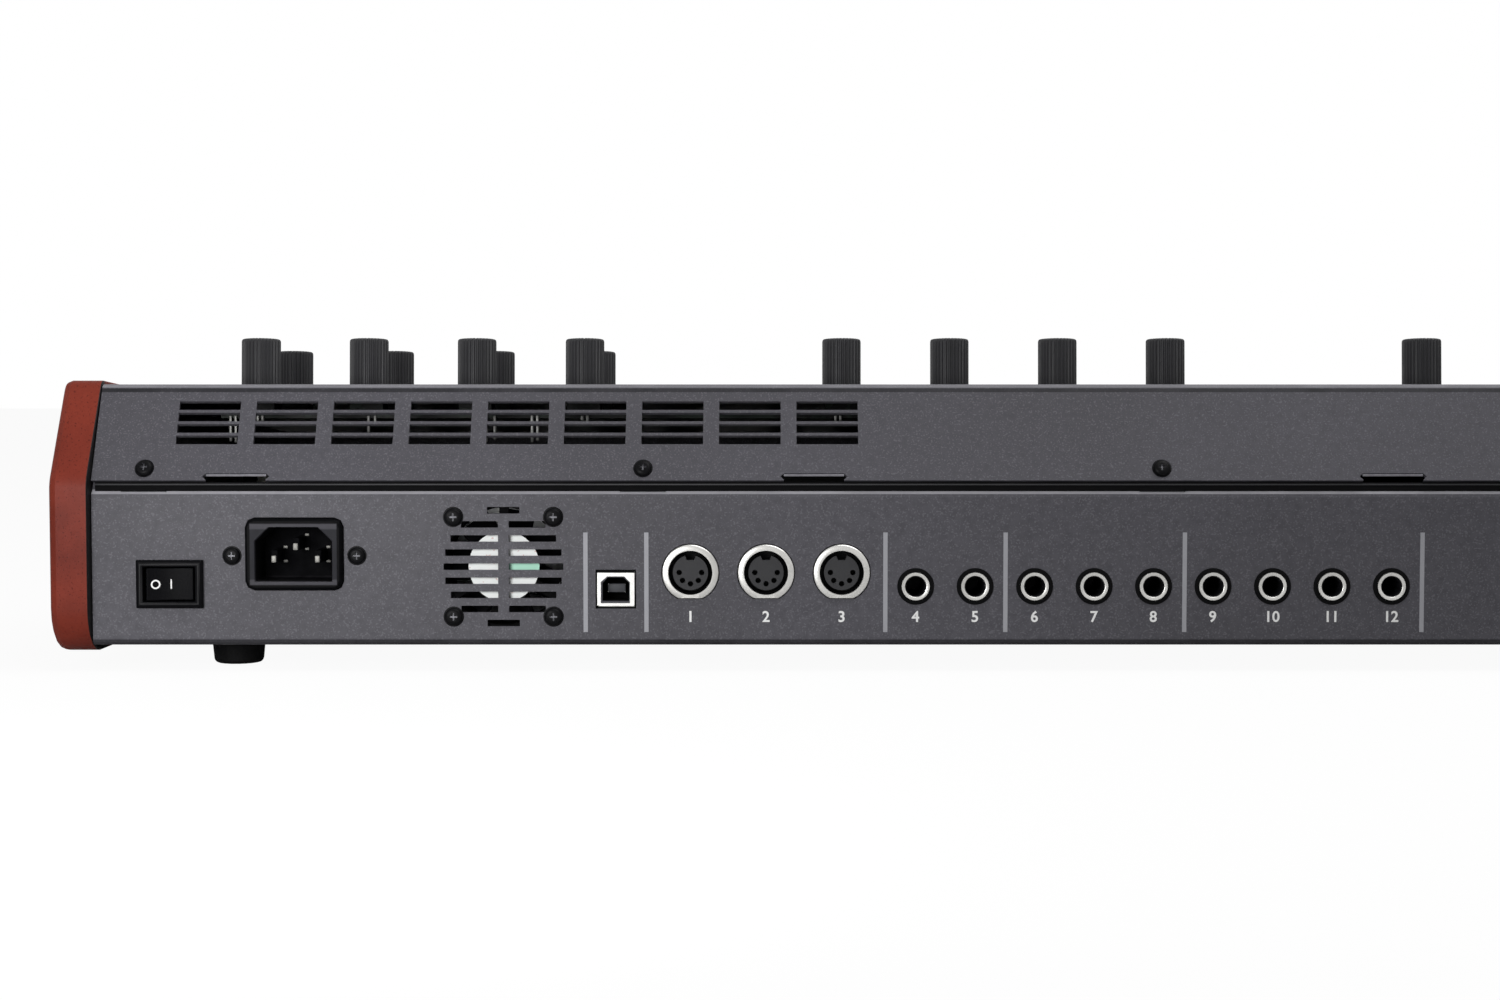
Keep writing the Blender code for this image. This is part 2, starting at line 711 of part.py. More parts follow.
def add_notches(bm):
    """Notches in the lid's lower edge, each with a small round relief at its two corners."""
    half = NOTCH_WIDTH / 2
    outline = [(-half, -OVERCUT), (half, -OVERCUT)]
    outline += [(half + NOTCH_RELIEF * math.sin(angle), NOTCH_HEIGHT - NOTCH_RELIEF * math.cos(angle))
                for angle in (0.0, math.pi / 2, math.pi)]
    outline += [(-half - NOTCH_RELIEF * math.sin(angle), NOTCH_HEIGHT - NOTCH_RELIEF * math.cos(angle))
                for angle in (math.pi, math.pi / 2, 0.0)]
    for x in mirrored_places(NOTCH_INSETS):
        add_placed(bm, lid_face_matrix(x, 0), add_prism, outline, "Y", -2 * SHEET, SHEET)


def knob_outline():
    """A round outline whose radius steps in and out, one groove for each flute."""
    points = []
    count = 2 * KNOB_FLUTES
    for step in range(count):
        angle = math.tau * step / count
        reach = KNOB_RADIUS if step % 2 else KNOB_RADIUS - KNOB_FLUTE
        points.append((reach * math.cos(angle), reach * math.sin(angle)))
    return points


def add_grip(bm, outline, foot):
    """A knob's grip: straight sides and a small slope at the top edge."""
    top = KNOB_LIFT + KNOB_HEIGHT
    made = add_prism(bm, outline, "Z", foot, top - KNOB_ROUND)
    crown = [face for face in bm.faces if all(vert in made for vert in face.verts)]
    grown = bmesh.ops.extrude_face_region(bm, geom=crown)["geom"]
    rim = [item for item in grown if isinstance(item, bmesh.types.BMVert)]
    bmesh.ops.delete(bm, geom=crown, context="FACES_ONLY")
    bmesh.ops.translate(bm, verts=rim, vec=(0, 0, KNOB_ROUND))
    inward = 1 - KNOB_ROUND / KNOB_RADIUS
    bmesh.ops.scale(bm, verts=rim, vec=(inward, inward, 1))


def display_place():
    """The display sits in the middle section, in front of the knobs."""
    return section_x(SECTIONS // 2), KNOB_ROW_SETBACK + KNOB_ROW_PITCH - KNOB_RADIUS


def make_lid(finish):
    """The lid with its vents, notches, shaft holes and display window, and the controls fused to it."""
    bm = bmesh.new()
    add_prism(bm, lid_outline(), "X", -CASE_HALF, CASE_HALF)
    lid = make_object("top_panel", bm, finish)
    bm = bmesh.new()
    add_vents(bm)
    add_notches(bm)
    shaft_hole = circle_outline(SHAFT_RADIUS + SHAFT_CLEAR, SHAFT_SIDES)
    for x, setback, moves in knob_places():
        if moves:
            add_placed(bm, panel_matrix(x, setback), add_prism, shaft_hole, "Z", -2 * SHEET, SHEET)
    window = box_outline(DISPLAY_WIDTH, DISPLAY_DEPTH)
    add_placed(bm, panel_matrix(*display_place()), add_prism, window, "Z", -2 * SHEET, SHEET)
    combine(lid, bm, "DIFFERENCE")
    bm = bmesh.new()
    plain_knob = circle_outline(KNOB_RADIUS, PLAIN_KNOB_SIDES)
    for x, setback, moves in knob_places():
        if not moves:
            add_placed(bm, panel_matrix(x, setback), add_grip, plain_knob, -SHEET / 2)
    button = box_outline(BUTTON_WIDTH, BUTTON_DEPTH)
    for x, setback in button_places():
        add_placed(bm, panel_matrix(x, setback), add_prism, button, "Z", -SHEET / 2, BUTTON_HEIGHT)
    combine(lid, bm, "UNION")
    return lid


def button_places():
    """Push buttons in front of the knobs, at the knobs' pitch.
    The last row runs through, the others leave room for the second knob row and for the display."""
    places = []
    display = SECTIONS // 2
    for row in range(BUTTON_ROWS):
        setback = KNOB_ROW_SETBACK + KNOB_ROW_PITCH - BUTTON_ROW_PITCH / 2 + row * BUTTON_ROW_PITCH
        for section in range(SECTIONS):
            if row < PART_BUTTON_ROWS and section in (0, display):
                continue
            for column in range(KNOBS_IN_SECTION):
                offset = ((KNOBS_IN_SECTION - 1) / 2 - column) * KNOB_PITCH
                places.append((section_x(section) + offset, setback))
    return places


def make_display(finish):
    x, setback = display_place()
    bm = bmesh.new()
    window = box_outline(DISPLAY_WIDTH - 2 * GAP, DISPLAY_DEPTH - 2 * GAP)
    add_prism(bm, window, "Z", -DISPLAY_THICK, 0)
    return make_object("display_window", bm, finish, panel_point(x, setback), PANEL_SLOPE)


def knob_mesh(finish):
    """A fluted knob with the end of its shaft, origin on the panel under its middle."""
    bm = bmesh.new()
    add_grip(bm, knob_outline(), KNOB_LIFT)
    pattern = make_object("knob_pattern", bm, finish)
    bm = bmesh.new()
    add_prism(bm, circle_outline(SHAFT_RADIUS, SHAFT_SIDES), "Z", -SHEET, KNOB_LIFT + SINK)
    combine(pattern, bm, "UNION")
    mesh = pattern.data
    bpy.data.objects.remove(pattern)
    return mesh


def make_knobs(finish):
    mesh = knob_mesh(finish)
    names = [f"rear_knob_{index + 1}" for index in range(MOVING_REAR_KNOBS)]
    names += [f"second_row_knob_{index + 1}" for index in range(KNOBS_IN_SECTION)]
    moving = [place for place in knob_places() if place[2]]
    for name, (x, setback, _) in zip(names, moving):
        place_mesh(name, mesh, panel_point(x, setback), PANEL_SLOPE)


def make_feet(finish):
    profile = [(0, 0), (FOOT_BASE_RADIUS - FOOT_CHAMFER, 0), (FOOT_BASE_RADIUS, FOOT_CHAMFER),
               (FOOT_TOP_RADIUS, FOOT_HEIGHT - GAP), (0, FOOT_HEIGHT - GAP)]
    bm = bmesh.new()
    add_turned(bm, profile, FOOT_SIDES, along="Z")
    x = CASE_HALF - FOOT_END_INSET
    y = REAR_Y - FOOT_EDGE_INSET
    first = make_object("foot_rear_right", bm, finish, (x, y, 0))
    place_mesh("foot_rear_left", first.data, (-x, y, 0))
    place_mesh("foot_front_right", first.data, (x, -y, 0))
    place_mesh("foot_front_left", first.data, (-x, -y, 0))


def inlet_outline(grow=0.0):
    half_width = INLET_WIDTH / 2 + grow
    half_tall = INLET_TALL / 2 + grow
    radius = INLET_CORNER + grow
    return rounded_outline([(-half_width, -half_tall, radius), (half_width, -half_tall, radius),
                            (half_width, half_tall, radius), (-half_width, half_tall, radius)], 2)


def make_inlet(finish):
    """Mains inlet: a collar through the wall, ears behind it, and three blades in a recess."""
    bm = bmesh.new()
    outer = add_prism(bm, inlet_outline(), "Y", -SHEET - GAP - INLET_EAR_THICK / 2, INLET_PROUD)
    rim = [edge for edge in bm.edges if all(vert in outer for vert in edge.verts)]
    cut_edges(bm, rim, INLET_CHAMFER)
    inlet = make_object("power_inlet", bm, finish, (INLET_X, REAR_Y, FLOOR_Z + INLET_HEIGHT))
    bm = bmesh.new()
    back = -SHEET - GAP
    add_box(bm, (-INLET_EAR_SPAN / 2, INLET_EAR_SPAN / 2), (back - INLET_EAR_THICK, back),
            (-INLET_TALL / 2, INLET_TALL / 2))
    combine(inlet, bm, "UNION")
    bm = bmesh.new()
    wall = (INLET_WIDTH - RECESS_WIDTH) / 2
    half_width = RECESS_WIDTH / 2 + wall / 2
    half_tall = RECESS_TALL / 2 + wall / 2
    deep = INLET_PROUD - RECESS_DEPTH - INLET_BACK_WALL
    add_box(bm, (-half_width, half_width), (deep, back - INLET_EAR_THICK / 2), (-half_tall, half_tall))
    combine(inlet, bm, "UNION")
    bm = bmesh.new()
    half_width = RECESS_WIDTH / 2
    half_tall = RECESS_TALL / 2
    recess = [(-half_width, -half_tall), (half_width, -half_tall), (half_width, half_tall - RECESS_CHAMFER),
              (half_width - RECESS_CHAMFER, half_tall), (-half_width + RECESS_CHAMFER, half_tall),
              (-half_width, half_tall - RECESS_CHAMFER)]
    floor = INLET_PROUD - RECESS_DEPTH
    add_prism(bm, recess, "Y", floor, INLET_PROUD + OVERCUT)
    combine(inlet, bm, "DIFFERENCE")
    bm = bmesh.new()
    for x, z in ((-BLADE_PITCH, -BLADE_DROP), (BLADE_PITCH, -BLADE_DROP), (0, BLADE_RAISE - BLADE_DROP)):
        blade = box_outline(BLADE_THICK, BLADE_TALL, (x, z))
        add_prism(bm, blade, "Y", floor - SINK, floor + BLADE_LENGTH)
    combine(inlet, bm, "UNION")
    return inlet


def make_switch(finish):
    """Rocker switch: a bezel on the wall with its body behind, and the rocker in its window."""
    place = Vector((SWITCH_X, REAR_Y, FLOOR_Z + SWITCH_HEIGHT))
    bm = bmesh.new()
    outer = add_prism(bm, box_outline(SWITCH_WIDTH, SWITCH_TALL), "Y", GAP, SWITCH_PROUD)
    rim = [edge for edge in bm.edges if all(vert in outer for vert in edge.verts)]
    cut_edges(bm, rim, SWITCH_CHAMFER)
    frame = make_object("power_switch_frame", bm, finish, place)
    bm = bmesh.new()
    body_width = SWITCH_WIDTH - SWITCH_BODY_MARGIN
    body_tall = SWITCH_TALL - SWITCH_BODY_MARGIN
    add_prism(bm, box_outline(body_width, body_tall), "Y", -SWITCH_BODY_DEPTH, SWITCH_PROUD / 2)
    combine(frame, bm, "UNION")
    bm = bmesh.new()
    window = box_outline(ROCKER_WIDTH + 2 * ROCKER_SPACE, ROCKER_TALL + 2 * ROCKER_SPACE)
    reach = math.hypot(ROCKER_WIDTH / 2, ROCKER_BACK)
    add_prism(bm, window, "Y", SWITCH_PROUD - ROCKER_SINK - reach, SWITCH_PROUD + OVERCUT)
    combine(frame, bm, "DIFFERENCE")
    half = ROCKER_WIDTH / 2 - ROCKER_EDGE
    crest = ROCKER_VALLEY + ROCKER_WIDTH / 2 * math.tan(ROCKER_TILT)
    foot = ROCKER_BACK_WIDTH / 2
    section = [(-foot, -ROCKER_BACK), (foot, -ROCKER_BACK), (half, ROCKER_VALLEY),
               (half - ROCKER_EDGE, crest), (0, ROCKER_VALLEY), (-half + ROCKER_EDGE, crest),
               (-half, ROCKER_VALLEY)]
    turn = Matrix.Rotation(ROCKER_TILT, 2)
    turned = [turn @ Vector(point) for point in section]
    bm = bmesh.new()
    add_prism(bm, turned, "Z", -ROCKER_TALL / 2, ROCKER_TALL / 2)
    pivot = place + Vector((0, SWITCH_PROUD - ROCKER_SINK, 0))
    rocker = make_object("power_rocker", bm, finish)
    hang_on_pivot(rocker, "power_rocker_pivot", pivot)


def make_fan_frame(finish, place):
    """A square frame with a round bore, and a fixed hub on three struts at its front."""
    half = FAN_SIDE / 2
    bm = bmesh.new()
    square = rounded_outline([(-half, -half, FAN_CORNER), (half, -half, FAN_CORNER),
                              (half, half, FAN_CORNER), (-half, half, FAN_CORNER)], 1)
    add_prism(bm, square, "Y", -FAN_DEPTH, 0)
    frame = make_object("fan_frame", bm, finish, place)
    bm = bmesh.new()
    add_prism(bm, circle_outline(FAN_BORE_RADIUS, FAN_SIDES), "Y", -FAN_DEPTH - OVERCUT, OVERCUT)
    combine(frame, bm, "DIFFERENCE")
    bm = bmesh.new()
    add_prism(bm, circle_outline(FAN_HUB_RADIUS, FAN_SIDES), "Y", -FAN_HUB_THICK, -GAP)
    hub = make_object("hub_pattern", bm, finish, place)
    bm = bmesh.new()
    strut_front = -2 * GAP
    for index in range(FAN_STRUTS):
        turn = Matrix.Rotation(math.pi / 6 + index * math.tau / FAN_STRUTS, 4, "Y")
        add_placed(bm, turn, add_box, (FAN_HUB_RADIUS - FAN_ROOT, FAN_BORE_RADIUS + SINK),
                   (strut_front - FAN_STRUT_THICK, strut_front), (-FAN_STRUT_WIDTH / 2, FAN_STRUT_WIDTH / 2))
    combine(hub, bm, "UNION")
    bm = bmesh.new()
    bm.from_mesh(hub.data)
    bpy.data.objects.remove(hub)
    combine(frame, bm, "UNION")


def make_fan_rotor(finish, place):
    """The turning hub with its ring of pitched blades, behind the fixed hub."""
    front = -FAN_HUB_THICK - GAP
    back = -FAN_DEPTH + ROTOR_SPACE
    bm = bmesh.new()
    add_prism(bm, circle_outline(FAN_HUB_RADIUS, FAN_SIDES), "Y", back, front)
    rotor = make_object("fan_rotor", bm, finish)
    bm = bmesh.new()
    pitched = Matrix.Translation((0, (front + back) / 2, 0)) @ Matrix.Rotation(FAN_BLADE_PITCH, 4, "X")
    for index in range(FAN_BLADES):
        turn = Matrix.Rotation(index * math.tau / FAN_BLADES, 4, "Y")
        add_placed(bm, turn @ pitched, add_box, (FAN_HUB_RADIUS - FAN_ROOT, FAN_BLADE_REACH),
                   (-FAN_BLADE_THICK / 2, FAN_BLADE_THICK / 2), (-FAN_BLADE_CHORD / 2, FAN_BLADE_CHORD / 2))
    combine(rotor, bm, "UNION")
    hang_on_pivot(rotor, "fan_rotor_pivot", place)


def board_drop(height):
    """How far a connector's middle lies above the jack board it is soldered to."""
    return height - JACK_BOARD_TOP - SHEET - GAP


def make_usb(finish):
    """Square USB socket: a metal shell with a tongue in its mouth."""
    place = (USB_X, REAR_Y, FLOOR_Z + USB_HEIGHT)
    bm = bmesh.new()
    add_prism(bm, box_outline(USB_WIDTH, USB_TALL), "Y", -USB_DEPTH, 0)
    usb = make_object("usb_socket", bm, finish, place)
    bm = bmesh.new()
    half = USB_WIDTH / 2 - GAP
    add_box(bm, (-half, half), (-USB_DEPTH + GAP, -SHEET - 2 * GAP), (-board_drop(USB_HEIGHT), 0))
    combine(usb, bm, "UNION")
    bm = bmesh.new()
    half_width = USB_MOUTH_WIDTH / 2
    half_tall = USB_MOUTH_TALL / 2
    mouth = [(-half_width, -half_tall), (half_width, -half_tall), (half_width, half_tall - USB_CHAMFER),
             (half_width - USB_CHAMFER, half_tall), (-half_width + USB_CHAMFER, half_tall),
             (-half_width, half_tall - USB_CHAMFER)]
    add_prism(bm, mouth, "Y", -USB_WELL, OVERCUT)
    combine(usb, bm, "DIFFERENCE")
    bm = bmesh.new()
    add_prism(bm, box_outline(USB_TONGUE_WIDTH, USB_TONGUE_TALL), "Y", -USB_WELL - SINK, -USB_TONGUE_SINK)
    combine(usb, bm, "UNION")


def make_midi_sockets(finish):
    """Three round sockets: a ring with a flat foot in the wall's hole, and a body on the board."""
    bm = bmesh.new()
    add_prism(bm, midi_ring_outline(MIDI_RING_RADIUS, MIDI_FLAT_DROP), "Y", -SHEET - 2 * GAP, GAP)
    place = Vector((MIDI_X, REAR_Y, FLOOR_Z + MIDI_HEIGHT))
    first = make_object(MIDI_NAMES[0], bm, finish, place)
    bm = bmesh.new()
    half = MIDI_BODY_WIDTH / 2
    foot = -board_drop(MIDI_HEIGHT)
    add_box(bm, (-half, half), (-SHEET - GAP - MIDI_BODY_DEPTH, -SHEET - GAP), (foot, half))
    combine(first, bm, "UNION")
    bm = bmesh.new()
    add_prism(bm, circle_outline(MIDI_WELL_RADIUS, MIDI_SIDES), "Y", -MIDI_WELL_DEPTH, OVERCUT)
    combine(first, bm, "DIFFERENCE")
    bm = bmesh.new()
    top = MIDI_WELL_RADIUS + MIDI_KEY_DEPTH
    add_box(bm, (-MIDI_KEY_WIDTH / 2, MIDI_KEY_WIDTH / 2), (-MIDI_WELL_DEPTH + GAP, OVERCUT),
            (MIDI_WELL_RADIUS / 2, top))
    combine(first, bm, "DIFFERENCE")
    for index, name in enumerate(MIDI_NAMES[1:], 1):
        place_mesh(name, first.data, place - Vector((index * MIDI_PITCH, 0, 0)))


def make_jacks(finish):
    """Nine jacks: a sleeve and nose in the wall's hole, and a body with a blind bore behind."""
    back = -SHEET - GAP
    profile = [(0, back - SINK), (JACK_NOSE_RADIUS, back - SINK), (JACK_NOSE_RADIUS, -2 * GAP),
               (JACK_SLEEVE_RADIUS, -2 * GAP), (JACK_SLEEVE_RADIUS, GAP), (0, GAP)]
    bm = bmesh.new()
    add_turned(bm, profile, JACK_SIDES, turn=math.pi / JACK_SIDES)
    place = Vector((JACK_X, REAR_Y, FLOOR_Z + JACK_HEIGHT))
    first = make_object(JACK_NAMES[0], bm, finish, place)
    bm = bmesh.new()
    half = JACK_BODY_WIDTH / 2
    add_box(bm, (-half, half), (back - JACK_BODY_DEPTH, back), (-board_drop(JACK_HEIGHT), JACK_BODY_TOP))
    combine(first, bm, "UNION")
    bm = bmesh.new()
    add_prism(bm, circle_outline(JACK_BORE_RADIUS, JACK_BORE_SIDES), "Y", -JACK_BORE_DEPTH, OVERCUT)
    combine(first, bm, "DIFFERENCE")
    for index, name in enumerate(JACK_NAMES[1:], 1):
        place_mesh(name, first.data, place - Vector((index * JACK_PITCH, 0, 0)))


def make_board(name, finish, x, y, top):
    """A printed circuit board on posts that stand on the tray's floor."""
    bm = bmesh.new()
    add_box(bm, x, y, (top - BOARD_THICK, top))
    board = make_object(name, bm, finish)
    bm = bmesh.new()
    margin = POST_SIDE
    for px in (x[0] + margin, (x[0] + x[1]) / 2, x[1] - margin):
        for py in (y[0] + margin, y[1] - margin):
            add_box(bm, (px - POST_SIDE / 2, px + POST_SIDE / 2), (py - POST_SIDE / 2, py + POST_SIDE / 2),
                    (FLOOR_TOP + GAP, top - BOARD_THICK / 2))
    combine(board, bm, "UNION")


def make_inner_parts(board_finish, metal_finish):
    """Jack board, main board and power supply, on the tray's floor."""
    jack_end = JACK_X - (JACK_COUNT - 1) * JACK_PITCH - JACK_BODY_WIDTH / 2 - BOARD_MARGIN
    usb_end = USB_X + USB_WIDTH / 2 + BOARD_MARGIN
    board_rear = WALL_IN - GAP
    board_top = FLOOR_TOP + JACK_BOARD_TOP
    make_board("jack_board", board_finish, (jack_end, usb_end), (board_rear - JACK_BOARD_DEPTH, board_rear),
               board_top)
    main_rear = board_rear - BOARD_SPACE
    make_board("main_board", board_finish, (-CASE_HALF + MAIN_BOARD_INSET, jack_end - BOARD_SPACE),
               (main_rear - MAIN_BOARD_DEPTH, main_rear), FLOOR_TOP + MAIN_BOARD_RAISE)
    inlet_back = REAR_Y + INLET_PROUD - RECESS_DEPTH - INLET_BACK_WALL
    middle = inlet_back - SUPPLY_SPACE - SUPPLY_DEPTH / 2
    half_width = SUPPLY_WIDTH / 2
    half_depth = SUPPLY_DEPTH / 2
    corners = [(-half_width, -half_depth, SUPPLY_CHAMFER), (half_width, -half_depth, SUPPLY_CHAMFER),
               (half_width, half_depth, SUPPLY_CHAMFER), (-half_width, half_depth, SUPPLY_CHAMFER)]
    bm = bmesh.new()
    add_prism(bm, rounded_outline(corners, 1), "Z", 0, SUPPLY_TALL)
    make_object("power_supply", bm, metal_finish, (INLET_X, middle, FLOOR_TOP + GAP))


def make_panel_board(finish):
    """The board under the lid that carries a potentiometer for each turning knob."""
    moving = [place for place in knob_places() if place[2]]
    pot_top = -SHEET - GAP
    board_top = pot_top - POT_TALL
    first = KNOB_ROW_SETBACK - POT_WIDTH
    left = min(x for x, setback, moves in moving) - POT_WIDTH
    right = max(x for x, setback, moves in moving) + POT_WIDTH
    bm = bmesh.new()
    add_box(bm, (left, right), (-PANEL_BOARD_DEPTH, 0), (board_top - BOARD_THICK, board_top))
    board = make_object("panel_board", bm, finish, panel_point(0, first), PANEL_SLOPE)
    bm = bmesh.new()
    half = POT_WIDTH / 2
    for x, setback, _ in moving:
        y = first - setback
        add_box(bm, (x - half, x + half), (y - half, y + half), (board_top - BOARD_THICK / 2, pot_top))
    combine(board, bm, "UNION")


def make_end_block(finish):
    """Filler between the last key and the case's end wall, with a cap that lies on the wall."""
    left = KEYS_RIGHT + KEY_SPACE / 2
    inner = CASE_HALF - SHEET - GAP
    outer = CASE_HALF - GAP
    cap = FRONT_TOP + GAP
    section = [(left, FLOOR_TOP + GAP), (inner, FLOOR_TOP + GAP), (inner, cap), (outer, cap),
               (outer, KEY_TOP), (left, KEY_TOP)]
    bm = bmesh.new()
    add_prism(bm, section, "Y", FRONT_Y + SHEET + GAP, APRON_Y - GAP)
    make_object("end_block", bm, finish)


def lever_places():
    middle = -CASE_HALF + LEVER_PANEL_WIDTH / 2
    return middle - LEVER_SPACING / 2, middle + LEVER_SPACING / 2


def make_lever_panel(finish):
    """Cover to the left of the keys: slots for the two levers and ears that carry their axles."""
    left = -CASE_HALF + GAP
    right = KEYS_LEFT - KEY_SPACE / 2
    foot = FRONT_TOP + GAP
    top = KEY_TOP
    rear = APRON_Y - GAP
    bm = bmesh.new()
    add_box(bm, (left, right), (FRONT_Y, rear), (foot, top))
    panel = make_object("lever_panel", bm, finish)
    bm = bmesh.new()
    add_box(bm, (left + SHEET, right - SHEET), (FRONT_Y + SHEET, rear - SHEET), (foot - OVERCUT, top - SHEET))
    combine(panel, bm, "DIFFERENCE")
    pivot_y = APRON_Y - LEVER_SETBACK
    pivot_z = top - LEVER_PIVOT_DROP
    bm = bmesh.new()
    slot_half = LEVER_WIDTH / 2 + EAR_SPACE
    ear_half = LEVER_HUB_RADIUS + EAR_MARGIN
    for x in lever_places():
        for side in (-1, 1):
            inner = x + side * slot_half
            low, high = sorted((inner, inner + side * EAR_THICK))
            add_box(bm, (low, high), (pivot_y - ear_half, pivot_y + ear_half),
                    (pivot_z - ear_half, top - SHEET / 2))
    combine(panel, bm, "UNION")
    bm = bmesh.new()
    swing = LEVER_PIVOT_DROP * math.tan(LEVER_TILT) + LEVER_THICK / 2 / math.cos(LEVER_TILT) + SLOT_SPACE
    for x in lever_places():
        add_box(bm, (x - slot_half, x + slot_half), (pivot_y - swing, pivot_y + swing),
                (top - SHEET - OVERCUT, top + OVERCUT))
    combine(panel, bm, "DIFFERENCE")
    bm = bmesh.new()
    hole = circle_outline(AXLE_RADIUS + GAP, AXLE_SIDES, (pivot_y, pivot_z))
    reach = slot_half + EAR_THICK + OVERCUT
    for x in lever_places():
        add_prism(bm, hole, "X", x - reach, x + reach)
    combine(panel, bm, "DIFFERENCE")


def make_levers(finish):
    """Paddle on a hub with an axle; both levers stand upright at rest."""
    half = LEVER_THICK / 2
    top = LEVER_PIVOT_DROP + LEVER_RISE
    tip = half * LEVER_TAPER
    blade = rounded_outline([(-half, 0, 0), (half, 0, 0), (tip, top, LEVER_TIP_RADIUS),
                             (-tip, top, LEVER_TIP_RADIUS)], 3)
    bm = bmesh.new()
    add_prism(bm, blade, "X", -LEVER_WIDTH / 2, LEVER_WIDTH / 2)
    names = ("mod_lever", "pitch_lever")
    pattern = make_object(names[0], bm, finish)
    bm = bmesh.new()
    add_prism(bm, circle_outline(LEVER_HUB_RADIUS, HUB_SIDES), "X", -LEVER_WIDTH / 2, LEVER_WIDTH / 2)
    combine(pattern, bm, "UNION")
    bm = bmesh.new()
    reach = LEVER_WIDTH / 2 + EAR_SPACE + EAR_THICK
    add_prism(bm, circle_outline(AXLE_RADIUS, AXLE_SIDES), "X", -reach, reach)
    combine(pattern, bm, "UNION")
    mesh = pattern.data
    bpy.data.objects.remove(pattern)
    for name, x in zip(names, lever_places()):
        lever = place_mesh(name, mesh, (0, 0, 0))
        hang_on_pivot(lever, name + "_pivot", (x, APRON_Y - LEVER_SETBACK, KEY_TOP - LEVER_PIVOT_DROP))


def make_key_frame(finish):
    """Folded steel frame: a deck below the keys and a raised shelf that the key bars roll on."""
    deck = FLOOR_TOP + FRAME_DECK_RAISE
    front = KEY_FRONT_Y + FRAME_FRONT_INSET
    riser = WHITE_BAR.x - SHELF_AHEAD
    rear = BLACK_BAR.x + SHELF_BEHIND
    foot = FLOOR_TOP + GAP
    outer = [Vector(point) for point in ((rear, foot), (rear, BAR_SEAT), (riser, BAR_SEAT), (riser, deck),
                                         (front, deck), (front, foot))]
    outline = outer + offset_path(outer, FRAME_SHEET)[::-1]
    bm = bmesh.new()
    add_prism(bm, outline, "X", KEYS_LEFT + KEY_SPACE, KEYS_RIGHT - KEY_SPACE)
    make_object("key_frame", bm, finish)


def black_centres():
    """Middles of the five black keys, measured from the octave's left edge.
    In each group the white keys' tails and the black keys take turns at equal steps."""
    centres = []
    for first_white, number in SHARPS:
        blacks = sum(1 for first, _ in SHARPS if first == first_white)
        step = (blacks + 1) * WHITE_PITCH / (2 * blacks + 1)
        centres.append(first_white * WHITE_PITCH + (2 * number + 1.5) * step)
    return centres


def tail_span(index):
    """Left and right side of a white key's tail, measured from the octave's left edge."""
    left = index * WHITE_PITCH + KEY_SPACE / 2
    right = (index + 1) * WHITE_PITCH - KEY_SPACE / 2
    reach = BLACK_WIDTH / 2 + KEY_SPACE
    for centre in black_centres():
        if abs(centre - index * WHITE_PITCH) < WHITE_PITCH / 2:
            left = max(left, centre + reach)
        if abs(centre - (index + 1) * WHITE_PITCH) < WHITE_PITCH / 2:
            right = min(right, centre - reach)
    return left, right


def add_white_key(solid, lips, pockets, index, tail):
    """One white key: a full-width head and a narrower tail, and the hollows under both."""
    left = index * WHITE_PITCH + KEY_SPACE / 2
    right = (index + 1) * WHITE_PITCH - KEY_SPACE / 2
    low, high = tail
    head_y = KEY_FRONT_Y + KEY_SHOWN - BLACK_SPACE - BLACK_LENGTH - KEY_SPACE - WHITE_BAR.x
    front_y = KEY_FRONT_Y - WHITE_BAR.x
    rear_y = 0.0
    plan = [(left, front_y), (right, front_y), (right, head_y), (high, head_y), (high, rear_y),
            (low, rear_y), (low, head_y), (left, head_y)]
    plan = [point for number, point in enumerate(plan)
            if (Vector(point) - Vector(plan[number - 1])).length > SAME_POINT]
    top = KEY_TOP - WHITE_BAR.y
    head_foot = top - KEY_DEPTH
    tail_foot = top - KEY_TAIL_DEPTH
    add_prism(solid, plan, "Z", tail_foot, top)
    add_box(lips, (left, right), (front_y, head_y), (head_foot, tail_foot + SINK))
    hollow = (head_foot - OVERCUT, top - KEY_WALL)
    add_box(pockets, (left + KEY_WALL, right - KEY_WALL), (front_y + KEY_WALL, head_y - KEY_WALL), hollow)
    add_box(pockets, (low + KEY_WALL, high - KEY_WALL),
            (head_y + KEY_WALL, rear_y - KEY_BAR_RADIUS - 2 * KEY_WALL), hollow)


def white_comb(name, keys, tails, finish):
    """White keys joined by the bar that they hinge on; origin on the bar's axis."""
    solid = bmesh.new()
    lips = bmesh.new()
    pockets = bmesh.new()
    for index, tail in zip(keys, tails):
        add_white_key(solid, lips, pockets, index, tail)
    comb = make_object(name, solid, finish)
    combine(comb, lips, "UNION")
    bar = bmesh.new()
    span = (min(tail[0] for tail in tails), max(tail[1] for tail in tails))
    corner_radius = KEY_BAR_RADIUS / math.cos(math.pi / KEY_BAR_SIDES)
    add_prism(bar, circle_outline(corner_radius, KEY_BAR_SIDES), "X", *span)
    combine(comb, bar, "UNION")
    combine(comb, pockets, "DIFFERENCE")
    return comb


